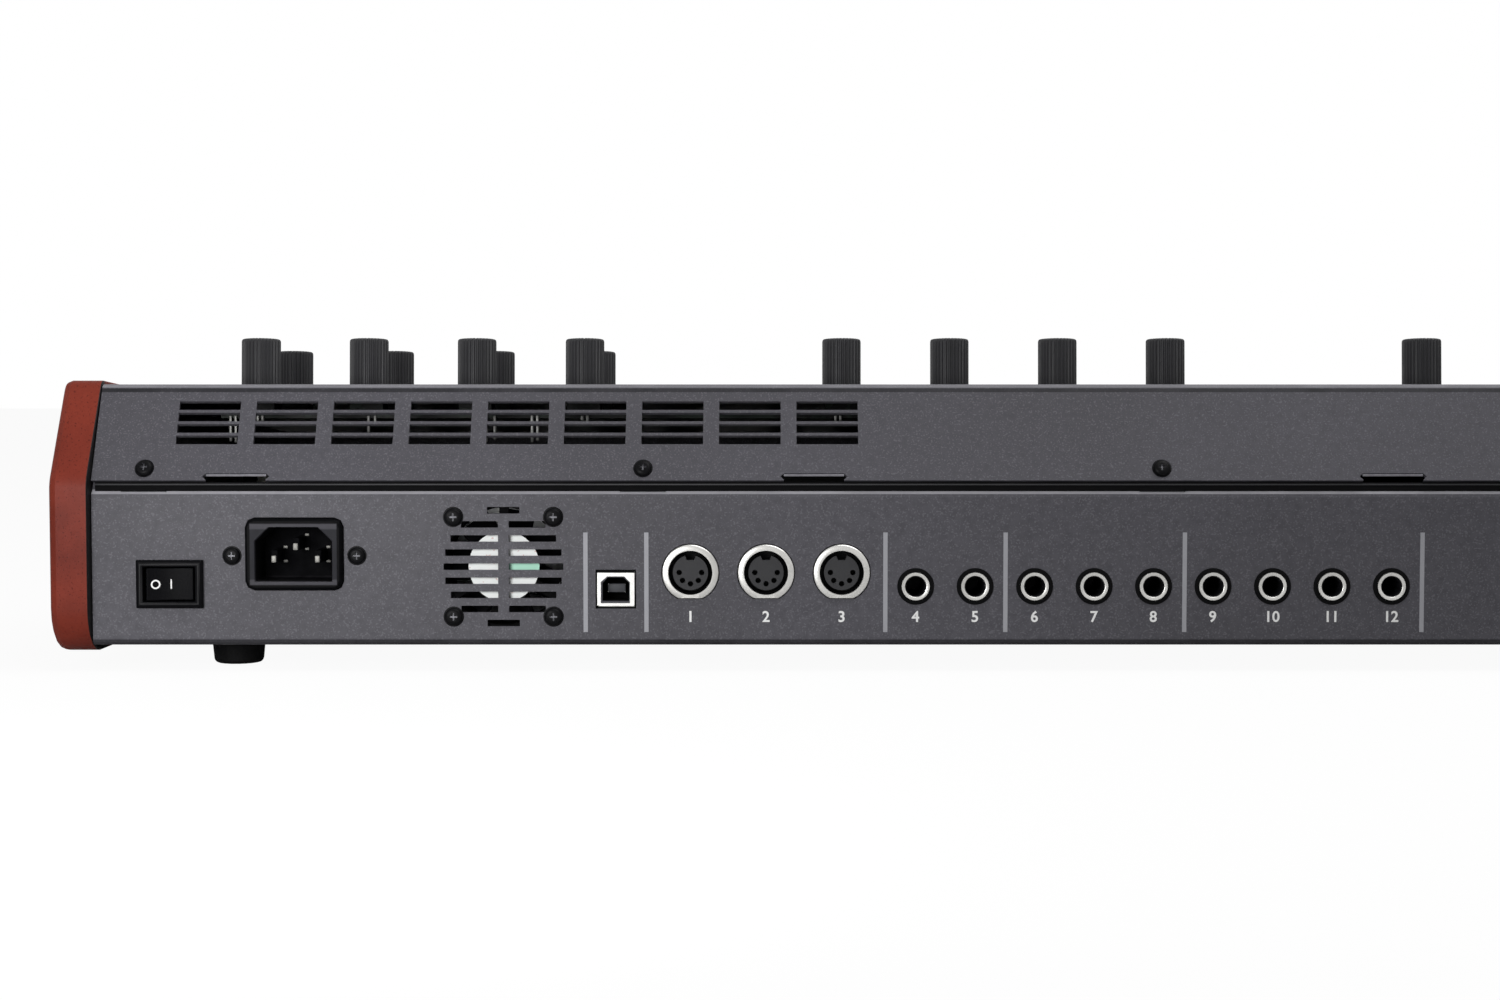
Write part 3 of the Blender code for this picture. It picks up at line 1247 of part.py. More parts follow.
def black_comb(name, finish):
    """Five black keys on arms that pass over the white keys' bar to a bar of their own."""
    shown = bmesh.new()
    rear_y = APRON_Y - BLACK_SPACE - BLACK_BAR.x
    front_y = rear_y - BLACK_LENGTH
    top = KEY_TOP + BLACK_RISE - BLACK_BAR.y
    foot = KEY_TOP - KEY_TAIL_DEPTH - BLACK_BAR.y
    arm_low = KEY_BAR_RADIUS + BLACK_ARM_RAISE
    centres = black_centres()
    for centre in centres:
        sides = (centre - BLACK_WIDTH / 2, centre + BLACK_WIDTH / 2)
        made = add_box(shown, sides, (front_y, rear_y), (foot, top))
        for vert in made:
            if vert.co.z > (foot + top) / 2:
                vert.co.x = centre + (vert.co.x - centre) * BLACK_TOP_WIDTH / BLACK_WIDTH
                if vert.co.y < (front_y + rear_y) / 2:
                    vert.co.y += BLACK_NOSE
        crown = [vert for vert in made if vert.co.z > (foot + top) / 2]
        ridge = [edge for edge in shown.edges if all(vert in crown for vert in edge.verts)]
        cut_edges(shown, ridge, BLACK_ROUND)
    comb = make_object(name, shown, finish)
    arms = bmesh.new()
    half = BLACK_ARM_WIDTH / 2
    for centre in centres:
        add_box(arms, (centre - half, centre + half), (rear_y - BLACK_ARM_ROOT, 0),
                (arm_low, arm_low + BLACK_ARM_DEPTH))
    combine(comb, arms, "UNION")
    bar = bmesh.new()
    reach = half + SINK
    add_box(bar, (centres[0] - reach, centres[-1] + reach), (-KEY_BAR_RADIUS, KEY_BAR_RADIUS),
            (-KEY_BAR_RADIUS, arm_low + BLACK_ARM_DEPTH - SINK))
    combine(comb, bar, "UNION")
    return comb


def make_keys(white_finish, black_finish):
    """Five octaves, each with a white comb and a black comb, and the single top key."""
    tails = [tail_span(index) for index in range(WHITES)]
    white = white_comb("white_keys_1", range(WHITES), tails, white_finish)
    black = black_comb("black_keys_1", black_finish)
    for octave in range(OCTAVES):
        x = KEYS_LEFT + octave * WHITES * WHITE_PITCH
        if octave == 0:
            first_white, first_black = white, black
        else:
            first_white = place_mesh(f"white_keys_{octave + 1}", white.data, (0, 0, 0))
            first_black = place_mesh(f"black_keys_{octave + 1}", black.data, (0, 0, 0))
        hang_on_pivot(first_white, f"white_keys_{octave + 1}_pivot", (x, *WHITE_BAR))
        hang_on_pivot(first_black, f"black_keys_{octave + 1}_pivot", (x, *BLACK_BAR))
    whole = (KEY_SPACE / 2, WHITE_PITCH - KEY_SPACE / 2)
    top_key = white_comb("top_c_key", range(1), [whole], white_finish)
    hang_on_pivot(top_key, "top_c_key_pivot", (KEYS_RIGHT - WHITE_PITCH, *WHITE_BAR))


def build():
    for leftover in list(bpy.data.objects):
        bpy.data.objects.remove(leftover)
    paint = material("charcoal_paint", (0.105, 0.105, 0.11), 0.45)
    wood = material("red_brown_wood", (0.27, 0.055, 0.035), 0.4)
    rubber = material("black_rubber", (0.02, 0.02, 0.02), 0.85)
    plastic = material("black_plastic", (0.018, 0.018, 0.02), 0.35)
    knob_plastic = material("knob_plastic", (0.032, 0.032, 0.034), 0.4)
    steel = material("plated_steel", (0.55, 0.55, 0.56), 0.3, 1.0)
    board_green = material("board_green", (0.02, 0.12, 0.05), 0.5)
    white_plastic = material("white_key_plastic", (0.82, 0.81, 0.77), 0.25)
    black_plastic = material("black_key_plastic", (0.012, 0.012, 0.013), 0.35)
    glass = material("display_glass", (0.02, 0.02, 0.025), 0.1)

    make_cheek("right_cheek", 1, wood)
    make_cheek("left_cheek", -1, wood)
    make_bottom_tray(paint)
    make_lid(paint)
    make_display(glass)
    make_knobs(knob_plastic)
    make_feet(rubber)
    make_inlet(plastic)
    make_switch(plastic)
    fan_place = Vector((FAN_X, WALL_IN, FLOOR_Z + FAN_HEIGHT))
    make_fan_frame(plastic, fan_place)
    make_fan_rotor(plastic, fan_place)
    make_usb(steel)
    make_midi_sockets(plastic)
    make_jacks(plastic)
    make_inner_parts(board_green, steel)
    make_panel_board(board_green)
    make_end_block(paint)
    make_lever_panel(paint)
    make_levers(plastic)
    make_key_frame(steel)
    make_keys(white_plastic, black_plastic)
    bpy.context.view_layer.update()


build()
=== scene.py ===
# %% [markdown]
# # A keyboard synthesizer, dressed for a studio picture
#
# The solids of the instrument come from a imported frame: a folded steel case, two wooden
# cheeks, keys, knobs, levers and a wall of connectors. They can't be moved or reshaped here.
# This lesson gives each of them a finish, and adds the small pieces that a solid model
# leaves out, such as screw heads, rims, marks and lamps.

# %% Load the frame
import json
import math

import bmesh
import bpy
from mathutils import Matrix, Vector
from mathutils.bvhtree import BVHTree

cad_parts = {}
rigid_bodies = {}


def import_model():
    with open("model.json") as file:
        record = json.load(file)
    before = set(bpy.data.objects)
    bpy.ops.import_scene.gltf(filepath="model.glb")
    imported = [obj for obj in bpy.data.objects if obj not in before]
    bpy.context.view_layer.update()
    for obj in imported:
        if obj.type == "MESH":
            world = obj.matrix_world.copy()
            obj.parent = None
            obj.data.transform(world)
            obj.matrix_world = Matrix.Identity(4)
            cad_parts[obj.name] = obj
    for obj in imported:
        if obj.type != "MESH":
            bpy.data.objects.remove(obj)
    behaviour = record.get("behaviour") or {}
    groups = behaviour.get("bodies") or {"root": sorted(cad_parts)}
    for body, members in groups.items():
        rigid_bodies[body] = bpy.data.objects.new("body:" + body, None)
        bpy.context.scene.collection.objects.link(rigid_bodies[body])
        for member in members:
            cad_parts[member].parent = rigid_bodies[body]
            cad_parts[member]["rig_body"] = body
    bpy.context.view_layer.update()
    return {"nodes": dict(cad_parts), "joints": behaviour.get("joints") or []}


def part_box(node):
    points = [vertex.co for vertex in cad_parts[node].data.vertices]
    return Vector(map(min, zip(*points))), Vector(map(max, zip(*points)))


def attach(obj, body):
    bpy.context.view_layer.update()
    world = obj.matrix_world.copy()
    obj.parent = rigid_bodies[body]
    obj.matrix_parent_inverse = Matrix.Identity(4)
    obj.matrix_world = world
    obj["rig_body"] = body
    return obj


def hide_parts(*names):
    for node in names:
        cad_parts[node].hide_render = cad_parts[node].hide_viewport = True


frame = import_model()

nodes = frame["nodes"]

# %% [markdown]
# # Landmarks
#
# The landmarks below are worked out from the solids, and most added pieces are placed from
# them, so that they sit on what carries them. The player's right is +X, the connectors face +Y
# and Z is up.

# %% Landmarks
MM = 0.001


def middle_of(node):
    low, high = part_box(node)
    return (low + high) / 2


case_low, case_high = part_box("bottom_tray")
wall_y = case_high.y
case_half = case_high.x
floor_z = case_low.z
joints = {joint["name"]: joint for joint in frame["joints"]}
first_knob = Vector(joints["rear_knob_1_turn"]["pos_m"])
panel_up = Vector(joints["rear_knob_1_turn"]["axis"])
panel_slope = math.atan2(-panel_up.y, panel_up.z)
knob_pitch = first_knob.x - joints["rear_knob_2_turn"]["pos_m"][0]
section_pitch = first_knob.x - joints["rear_knob_5_turn"]["pos_m"][0]
second_knob = Vector(joints["second_row_knob_1_turn"]["pos_m"])
row_ahead = (first_knob - second_knob).length
KNOB_SETBACK = 29 * MM
lid_edge = first_knob + Vector((0, math.cos(panel_slope), math.sin(panel_slope))) * KNOB_SETBACK


def rear_points(node):
    """The points of a solid's face towards the connectors."""
    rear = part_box(node)[1].y
    return [vert.co for vert in nodes[node].data.vertices if vert.co.y > rear - 0.05 * MM]


wall_top = max(point.z for point in rear_points("bottom_tray"))
lid_foot = Vector((0, wall_y, min(point.z for point in rear_points("top_panel"))))
lean = math.atan2(lid_foot.y - lid_edge.y, lid_edge.z - lid_foot.z)
print("wall top", round(wall_top, 4), "lid foot", round(lid_foot.z, 4))
print("lean", round(math.degrees(lean), 1), "slope", round(math.degrees(panel_slope), 2), "degrees")

# %% [markdown]
# # Signals
#
# A finish in Blender is a graph of nodes. Long graphs are hard to read when each node is
# placed by hand, so a wrapped socket here behaves like a number: adding or multiplying two of
# them adds the Math node that does it.

# %% Signals
class Signal:
    """One output socket, which can be used in sums like a number."""

    def __init__(self, finish, socket):
        self.finish = finish
        self.socket = socket

    def __add__(self, other):
        return self.finish.sum("ADD", self, other)

    def __mul__(self, other):
        return self.finish.sum("MULTIPLY", self, other)

    def __sub__(self, other):
        return self.finish.sum("SUBTRACT", self, other)

    def __rsub__(self, other):
        return self.finish.sum("SUBTRACT", other, self)

    def __abs__(self):
        return self.finish.sum("ABSOLUTE", self, 0)

    __radd__ = __add__
    __rmul__ = __mul__


print("signals can be added, subtracted and multiplied")

# %% [markdown]
# # Finishes
#
# All other nodes go through one method, which adds a node, sets it up and links its inputs.
# Colours are web codes, which are turned into the linear values that Blender takes.

# %% Finishes
class Finish:
    """The nodes of a new material, or of the world, put together from signals."""

    def __init__(self, owner):
        self.owner = bpy.data.materials.new(owner) if isinstance(owner, str) else owner
        self.owner.use_nodes = True
        self.tree = self.owner.node_tree
        self.tree.nodes.clear()
        self.place = self.node("ShaderNodeTexCoord", output="Object")

    def node(self, kind, settings=None, sockets=None, output=0):
        """Adds a node with its settings and inputs, and gives one of its outputs."""
        made = self.tree.nodes.new(kind)
        for setting, value in (settings or {}).items():
            setattr(made, setting, value)
        for socket, value in (sockets or {}).items():
            if isinstance(value, Signal):
                self.tree.links.new(value.socket, made.inputs[socket])
            else:
                made.inputs[socket].default_value = value
        if output is not None:
            return Signal(self, made.outputs[output])

    def sum(self, operation, first, second):
        return self.node("ShaderNodeMath", {"operation": operation}, {0: first, 1: second})

    def axis(self, letter):
        """How far along X, Y or Z a point lies, in metres."""
        return self.node("ShaderNodeSeparateXYZ", {}, {"Vector": self.place}, output=letter)

    def noise(self, scale, detail, stretch=(1, 1, 1)):
        """Noise from 0 to 1 whose grains are 1/scale metres, drawn out by stretch."""
        spread = self.node("ShaderNodeMapping", {}, {"Vector": self.place, "Scale": stretch})
        return self.node("ShaderNodeTexNoise", {},
                         {"Vector": spread, "Scale": scale, "Detail": detail})

    def step(self, signal, low, high):
        """Remaps a signal from low..high to 0..1, held at the ends."""
        return self.node("ShaderNodeMapRange", {"clamp": True},
                         {"Value": signal, "From Min": low, "From Max": high})

    def mix(self, share, *pair):
        """A colour between two, each of them a signal, a colour or a web colour's code."""
        pair = [paint(colour) if isinstance(colour, str) else colour for colour in pair]
        pair = [(*colour, 1) if isinstance(colour, tuple) else colour for colour in pair]
        return self.node("ShaderNodeMix", {"data_type": "RGBA"},
                         {0: share, 6: pair[0], 7: pair[1]}, output=2)

    def bump(self, height, depth, strength):
        """Relief from a signal, with its depth in millimetres."""
        return self.node("ShaderNodeBump", {},
                         {"Height": height, "Distance": depth * MM, "Strength": strength})

    def done(self, **sockets):
        """Ends the graph in a Principled shader, whose inputs are given by name."""
        named = {key.replace("_", " "): value for key, value in sockets.items()}
        return self.end(self.node("ShaderNodeBsdfPrincipled", {}, named))

    def end(self, shader, kind="ShaderNodeOutputMaterial"):
        """Links a shader to the output node."""
        self.node(kind, {}, {"Surface": shader}, output=None)
        return self.owner


def paint(code):
    """The linear colour of a six-figure web colour."""
    parts = [int(code[place:place + 2], 16) / 255 for place in (0, 2, 4)]
    return tuple(part / 12.92 if part <= 0.04045 else ((part + 0.055) / 1.055) ** 2.4
                 for part in parts)


print("charcoal is", [round(part, 3) for part in paint("57565b")])

# %% [markdown]
# # Powder coat
#
# The case is sheet steel with a satin charcoal powder coat. Close up, such a coat has a fine
# orange-peel bump and a sparse lighter speckle. Both come from noise on Object coordinates,
# so they stay on the metal when the instrument is seen from another side. Bands between two
# heights paint light and shade: painted highlights on bright edges and bends, and painted
# shade on dark folds, lines and lower edges.

# %% Charcoal powder coat
def powder_coat(name, dark, light, bands=()):
    """The coat, with bands of painted highlight and painted shade; each has two heights and the
    depth it starts at.
    """
    coat = Finish(name)
    cloud = coat.noise(9.0, 2.0)
    grain = coat.noise(1500.0, 2.0)
    speck = coat.step(coat.noise(1900.0, 0.0), 0.60, 0.74)
    patch = coat.noise(420.0, 2.0)
    # Patches where the coat is worn smoother; they also vary how strong the painted bands are.
    rubbed = coat.step(coat.noise(70.0, 5.0), 0.45, 0.75)
    base = coat.mix(coat.step(cloud, 0.35, 0.65), dark, light)
    base = coat.mix(grain * 0.42 + coat.step(patch, 0.4, 0.7) * 0.3, base, "3e3d42")
    base = coat.mix(speck * 0.2, base, "8b8a90")
    depth, height = coat.axis("Y"), coat.axis("Z")
    # Each band paints its tone over the coat between two heights and from a depth on: painted
    # highlights in a light tone, painted shade in a dark one.
    for low, high, rear, tone, share in bands:
        inside = coat.step(height, low, low + 0.25 * MM) * coat.step(height, high, high - 0.25 * MM)
        inside = inside * coat.step(depth, rear - 0.2 * MM, rear)
        base = coat.mix(inside * (0.75 + rubbed * 0.25) * share, base, tone)
    return coat.done(Base_Color=base, Roughness=0.44 + grain * 0.14 - rubbed * 0.05,
                     Normal=coat.bump(grain, 0.03, 0.6), Specular_IOR_Level=0.16)


# Tones of the painted highlight and the painted shade in the bands.
PAINTED_HIGHLIGHT = "a9a8ae"
PAINTED_SHADE = "1a1a1d"
CASE = powder_coat("charcoal_powder_coat", "4e4d52", "55545a")
# The wall gets a painted highlight on its top bend and painted shade along its foot. The lid gets a
# painted highlight on its top edge, a painted shade line under it, and painted shade on its lower
# end.
WALL_BANDS = [(wall_top + 0.9 * MM, wall_top + 2.5 * MM, wall_y - 2.3 * MM, PAINTED_HIGHLIGHT, 0.8),
              (floor_z - MM, floor_z + 2 * MM, wall_y - 3 * MM, PAINTED_SHADE, 0.95)]
LID_BANDS = [(lid_edge.z - 1.25 * MM, lid_edge.z + MM, lid_edge.y - 1.6 * MM, PAINTED_HIGHLIGHT, 0.4),
             (lid_edge.z - 2.75 * MM, lid_edge.z - 1.25 * MM, lid_edge.y - 1.2 * MM, PAINTED_SHADE, 1.0),
             (lid_foot.z - 1.2 * MM, lid_foot.z, wall_y - 2.2 * MM, PAINTED_SHADE, 1.0)]
WALL = powder_coat("rear_wall_coat", "515055", "58575d", WALL_BANDS)
LID = powder_coat("lid_coat", "4a494e", "515056", LID_BANDS)
# A lighter coat for the lips of the lid's notches: a painted highlight where they face the light
# above.
EDGE = powder_coat("rubbed_edge_coat", "77767c", "84838a")
print(len(bpy.data.materials), "coats")

# %% [markdown]
# # Varnished wood
#
# The cheeks are stained red-brown. Wood shows long fibres along the board, darker bands where
# the grain is dense, and short pores. Noises stretched along Y give those, and a thin clear
# coat over them gives the satin varnish. Where a cheek meets the case, its inner edge is
# painted near-black: painted shade for the gap beside the steel.

# %% Stained and varnished wood
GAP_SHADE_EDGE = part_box("right_cheek")[0].x + 0.3 * MM


def cheek_wood():
    wood = Finish("stained_cheek_wood")
    band = wood.step(wood.noise(60.0, 4.0, (1, 0.08, 1)), 0.35, 0.68)
    fibre = wood.noise(700.0, 3.0, (1, 0.03, 1))
    pore = wood.step(wood.noise(1500.0, 1.0, (1, 0.05, 1)), 0.60, 0.72)
    mottle = wood.noise(25.0, 2.0, (1, 0.4, 1))
    base = wood.mix(band, "7c3123", "622419")
    base = wood.mix(wood.step(mottle, 0.4, 0.7) * 0.5, base, "6e2a1e")
    base = wood.mix(fibre * 0.4, base, "591c13")
    base = wood.mix(pore * 0.55, base, "3d100c")
    # Painted shade: a thin near-black line on the cheek's inner edge, for the gap beside the case.
    gap_shade = wood.step(abs(wood.axis("X")), GAP_SHADE_EDGE + 0.15 * MM, GAP_SHADE_EDGE)
    gap_shade = gap_shade * wood.step(wood.axis("Y"), wall_y - 20 * MM, wall_y - 18 * MM)
    base = wood.mix(gap_shade, base, "0c0b0b")
    return wood.done(Base_Color=base, Roughness=0.46 + fibre * 0.15, Specular_IOR_Level=0.12,
                     Normal=wood.bump(fibre - pore * 0.6, 0.05, 0.5),
                     Coat_Weight=0.04, Coat_Roughness=0.3)


WOOD = cheek_wood()
print("wood with", len(WOOD.node_tree.nodes), "nodes")

# %% [markdown]
# # Moulded plastics and rubber
#
# Plastics differ by how finely their mould was textured. One helper takes the colour, the
# roughness and the size of that texture, and gives each its own uneven shine.

# %% Plastics and rubber
def moulded(name, dark, light, rough, grain_size, depth, coat=0.0, shine=0.25):
    """A plastic between two close colours; its grain's size and depth are in millimetres."""
    plastic = Finish(name)
    grain = plastic.noise(1 / (grain_size * MM), 2.0)
    cloud = plastic.noise(120.0, 3.0)
    base = plastic.mix(grain * 0.6 + cloud * 0.4, dark, light)
    return plastic.done(Base_Color=base, Roughness=rough + cloud * 0.12 - grain * 0.04,
                        Normal=plastic.bump(grain, depth, 0.5), Specular_IOR_Level=shine,
                        Coat_Weight=coat, Coat_Roughness=0.12)


CONNECTOR = moulded("black_connector_plastic", "0e0e10", "18181b", 0.42, 0.5, 0.02, shine=0.15)
GLOSS = moulded("black_gloss_plastic", "060607", "0e0e11", 0.24, 0.8, 0.008, shine=0.03)
KNOB = moulded("charcoal_knob_plastic", "29292b", "373739", 0.40, 0.35, 0.02, shine=0.2)
CAP = moulded("grey_button_plastic", "55565a", "606165", 0.40, 0.4, 0.015)
CORE = moulded("dark_grey_socket_core", "262628", "343436", 0.50, 0.4, 0.03)
LIP = moulded("grey_insulator_lip", "414146", "4c4c51", 0.6, 0.4, 0.01, shine=0.1)
TONGUE = moulded("grey_tongue_plastic", "414246", "4e4f53", 0.5, 0.4, 0.01)
RUBBER = moulded("black_foot_rubber", "070708", "101011", 0.6, 0.6, 0.04, shine=0.1)
WHITE_KEY = moulded("ivory_key_plastic", "e9e6dc", "f1efe7", 0.16, 6, 0.01, 0.4, 0.5)
BLACK_KEY = moulded("black_key_plastic", "0f0f10", "18181a", 0.38, 0.5, 0.02)
MARK = moulded("light_grey_marking_ink", "909096", "a6a6ab", 0.55, 0.3, 0.005)
PALE_MARK = moulded("white_marking_ink", "e4e4e4", "f0f0ee", 0.55, 0.3, 0.005)
SCREW = moulded("blackened_screw", "050506", "0f0f11", 0.34, 0.6, 0.02, shine=0.06)
# Black plastic for the fan frame and the jacks' outer rings, also used as painted shade in the
# seam, bores, wells, the USB mouth and gaps.
BLACK_AND_PAINTED_SHADE = moulded("dark_cavity_plastic", "040405", "09090a", 0.8, 0.5, 0.01, shine=0.08)
print(len(bpy.data.materials), "finishes so far")

# %% [markdown]
# # Metals
#
# Plated steel, nickel and aluminium share one recipe: full metal, a colour that varies with
# handling, and brushed or cloudy roughness. The stretch sets the brushing direction.

# %% Metals
def plated(name, tone, rough, stretch=(1, 1, 1), tarnish="6b6a66"):
    metal = Finish(name)
    brushed = metal.noise(900.0, 2.0, stretch)
    cloud = metal.step(metal.noise(90.0, 4.0), 0.4, 0.75)
    base = metal.mix(cloud * 0.3 + brushed * 0.15, tone, tarnish)
    return metal.done(Base_Color=base, Metallic=1.0, Normal=metal.bump(brushed, 0.008, 0.5),
                      Roughness=rough + cloud * 0.12 + brushed * 0.08)


NICKEL = plated("nickel_plate", "e8e7e4", 0.18, tarnish="9c9b97")
SATIN = plated("satin_nickel_plate", "cbcac7", 0.20, tarnish="86857f")
STEEL = plated("zinc_plated_steel", "c2c3c4", 0.30, (1, 0.1, 1))
ALUMINIUM = plated("plain_aluminium", "c9cacc", 0.38, (0.1, 1, 1))
WORN = plated("worn_screw_recess", "68686c", 0.45, tarnish="343436")
BLADE = plated("dull_blade_nickel", "868581", 0.5, tarnish="54534f")
TINNED = plated("tinned_pin", "767674", 0.4, tarnish="2e2e2c")
print("the tinned pins' finish has", len(TINNED.node_tree.nodes), "nodes")

# %% [markdown]
# # Circuit boards, glass and lamps
#
# The boards only show through the vents and the grille, where their lacquer and copper
# tracks catch a little light. Tracks are a stepped noise that is stretched two ways. Lamps
# and display figures are coloured plastic that also gives off a little light.

# %% Board lacquer, display and lamp finishes
def board_lacquer(name, dark, light, copper):
    board = Finish(name)
    along = board.step(board.noise(260.0, 1.0, (0.12, 1, 1)), 0.56, 0.58)
    across = board.step(board.noise(240.0, 1.0, (1, 0.12, 1)), 0.58, 0.60)
    track = board.step(along + across, 0.0, 1.0)
    cloud = board.noise(60.0, 3.0)
    base = board.mix(cloud, dark, light)
    base = board.mix(track * 0.7, base, copper)
    return board.done(Base_Color=base, Roughness=0.4 + cloud * 0.1, Specular_IOR_Level=0.12,
                      Normal=board.bump(track, 0.05, 0.6))


def dark_glass():
    glass = Finish("smoked_display_cover")
    smear = glass.noise(40.0, 4.0, (1, 0.3, 1))
    base = glass.mix(smear, "0b0c10", "11131a")
    return glass.done(Base_Color=base, Roughness=0.10 + smear * 0.06, Specular_IOR_Level=0.2,
                      Coat_Weight=0.1, Coat_Roughness=0.06)


def lamp(name, tone, glow):
    lit = Finish(name)
    cloud = lit.noise(700.0, 2.0)
    base = lit.mix(cloud, tone, tuple(part * 0.7 for part in paint(tone)))
    return lit.done(Base_Color=base, Roughness=0.3 + cloud * 0.1, Emission_Color=base,
                    Emission_Strength=glow)


BOARD = board_lacquer("green_board_lacquer", "11542c", "1a6636", "3f8a4a")
DARK_BOARD = board_lacquer("black_board_lacquer", "040505", "080a09", "1b241e")
GLASS = dark_glass()
RED_LAMP = lamp("red_lamp", "d8281c", 0.8)
FIGURE_RED = lamp("red_display_figure", "ff4030", 1.0)


def fan_label():
    """White paper with a mint tint on one side and faint red specks."""
    paper = Finish("fan_hub_label")
    centre = middle_of("fan_frame")
    side = paper.step(paper.axis("X"), centre.x + MM, centre.x - MM)
    tint = side * paper.step(abs(paper.axis("Z") - centre.z), 2.6 * MM, 1.8 * MM)
    blot = paper.noise(260.0, 2.0)
    red = paper.step(paper.noise(900.0, 1.0), 0.68, 0.72)
    base = paper.mix(tint * 0.75 + blot * 0.06, "f6f7f6", "94e0c0")
    base = paper.mix(red * (1 - tint) * 0.5, base, "c07068")
    return paper.done(Base_Color=base, Roughness=0.55 + blot * 0.1)


LABEL = fan_label()
print(len(bpy.data.materials), "finishes in all")

# %% [markdown]
# # Finishes for the solids that stay
#
# Where a solid already has the right shape, it only needs its finish. The rest are replaced
# further down by pieces with rounded edges or finer detail.

# %% Give the solids their finishes
FINISH_BY_NAME = {
    "bottom_tray": WALL, "top_panel": LID, "end_block": CASE, "lever_panel": CASE,
    "left_cheek": WOOD, "right_cheek": WOOD, "foot_": RUBBER, "key_frame": STEEL,
    "usb_socket": NICKEL, "power_supply": ALUMINIUM, "fan_frame": BLACK_AND_PAINTED_SHADE, "main_board": BOARD,
    "panel_board": DARK_BOARD, "jack_board": DARK_BOARD, "white_keys": WHITE_KEY,
    "top_c_key": WHITE_KEY, "black_keys": BLACK_KEY, "display_window": GLASS,
    "rear_knob": KNOB, "second_row_knob": KNOB}
plain = 0
for name, node in nodes.items():
    named = [finish for start, finish in FINISH_BY_NAME.items() if name.startswith(start)]
    plain += not named
    node.data.materials.clear()
    node.data.materials.append(named[0] if named else CONNECTOR)
print("finished", len(nodes), "solids,", plain, "of them in connector plastic")

# %% [markdown]
# # Turning a bmesh into a piece
#
# Each new piece is one object that rides on a body of the frame. Its faces point outwards,
# faces that meet gently are shaded smooth, and sharper edges stay crisp. Slabs and turned
# profiles have their sizes in millimetres; places are in metres, as the solids are.

# %% Piece maker
def new_object(name, data):
    """An object that carries a mesh, a text, a lamp or a camera, linked to the scene."""
    made = bpy.data.objects.new(name, data)
    bpy.context.scene.collection.objects.link(made)
    return made


def mesh_object(name, bm, finishes):
    """An object made of a bmesh, with one finish or several."""
    mesh = bpy.data.meshes.new(name)
    bm.to_mesh(mesh)
    bm.free()
    for finish in finishes if isinstance(finishes, list) else [finishes]:
        mesh.materials.append(finish)
    return new_object(name, mesh)


def make_piece(name, bm, finishes, body="chassis", crease=35.0, place=None):
    """Places, merges and shades a bmesh, and makes it an object that rides on a body."""
    if place:
        bmesh.ops.transform(bm, matrix=place, verts=bm.verts)
    bmesh.ops.remove_doubles(bm, verts=bm.verts, dist=1e-6)
    bmesh.ops.recalc_face_normals(bm, faces=bm.faces)
    for face in bm.faces:
        face.smooth = True
    made = mesh_object(name, bm, finishes)
    made.data.set_sharp_from_angle(angle=math.radians(crease))
    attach(made, body)
    return made


def pushed(bm, grown, height):
    """Moves what an operator has extruded along local Z, and gives its vertices."""
    verts = [item for item in grown["geom"] if isinstance(item, bmesh.types.BMVert)]
    bmesh.ops.translate(bm, verts=verts, vec=(0, 0, height))
    return verts


def add_slab(bm, size, place, edge=0.0, material=0):
    """A block with its size and the width of its bevels in millimetres, put at a place."""
    made = bmesh.ops.create_cube(bm, size=1.0)["verts"]
    bmesh.ops.scale(bm, verts=made, vec=Vector(size) * MM)
    faces = {face for vert in made for face in vert.link_faces}
    if edge:
        edges = list({side for vert in made for side in vert.link_edges})
        rounded = bmesh.ops.bevel(bm, geom=edges, offset=edge * MM, segments=2, profile=0.5,
                                  affect="EDGES", clamp_overlap=True)
        faces = {face for face in faces if face.is_valid} | set(rounded["faces"])
    verts = {vert for face in faces for vert in face.verts}
    for face in faces:
        face.material_index = material
    bmesh.ops.transform(bm, matrix=place, verts=list(verts))


def add_turned(bm, profile, place, steps, material=0):
    """Spins a profile of (radius, height) points, in millimetres, round the local Z axis."""
    old = set(bm.verts)
    verts = [bm.verts.new((radius * MM, 0, height * MM)) for radius, height in profile]
    edges = [bm.edges.new(pair) for pair in zip(verts, verts[1:])]
    bmesh.ops.spin(bm, geom=verts + edges, angle=math.tau, steps=steps, axis=(0, 0, 1),
                   cent=(0, 0, 0), use_merge=True)
    made = [vert for vert in bm.verts if vert not in old]
    bmesh.ops.remove_doubles(bm, verts=made, dist=1e-7)
    made = [vert for vert in made if vert.is_valid]
    for face in {face for vert in made for face in vert.link_faces}:
        face.material_index = material
    bmesh.ops.transform(bm, matrix=place, verts=made)


def slab_piece(name, size, places, finish, edge=0.0):
    """A piece of equal slabs, one at each place."""
    bm = bmesh.new()
    for place in places:
        add_slab(bm, size, place, edge)
    make_piece(name, bm, finish)


def on_wall(x, z, out=0.0):
    """A place on the rear wall: local Z points out of the wall and local X to the player's left."""
    turned = Matrix(((-1, 0, 0, 0), (0, 0, 1, 0), (0, 1, 0, 0), (0, 0, 0, 1)))
    return Matrix.Translation((x, wall_y + out, z)) @ turned


def on_panel(x, ahead, lift=0.0):
    """A place on the sloping panel, ahead metres towards the player from the rear knob row."""
    row = Matrix.Translation((x, first_knob.y, first_knob.z))
    return row @ Matrix.Rotation(panel_slope, 4, "X") @ Matrix.Translation((0, -ahead, lift))


print("a place on the wall:", on_wall(0.1, 0.03).translation[:])

# %% [markdown]
# # Rounded copies
#
# Real mouldings and boards have no knife edges: a small radius catches a line of light. For
# these pieces a copy of the solid is merged, its flat faces are joined, and a live Bevel
# modifier rounds what is left. The copy stands for the solid, which stays for collisions.

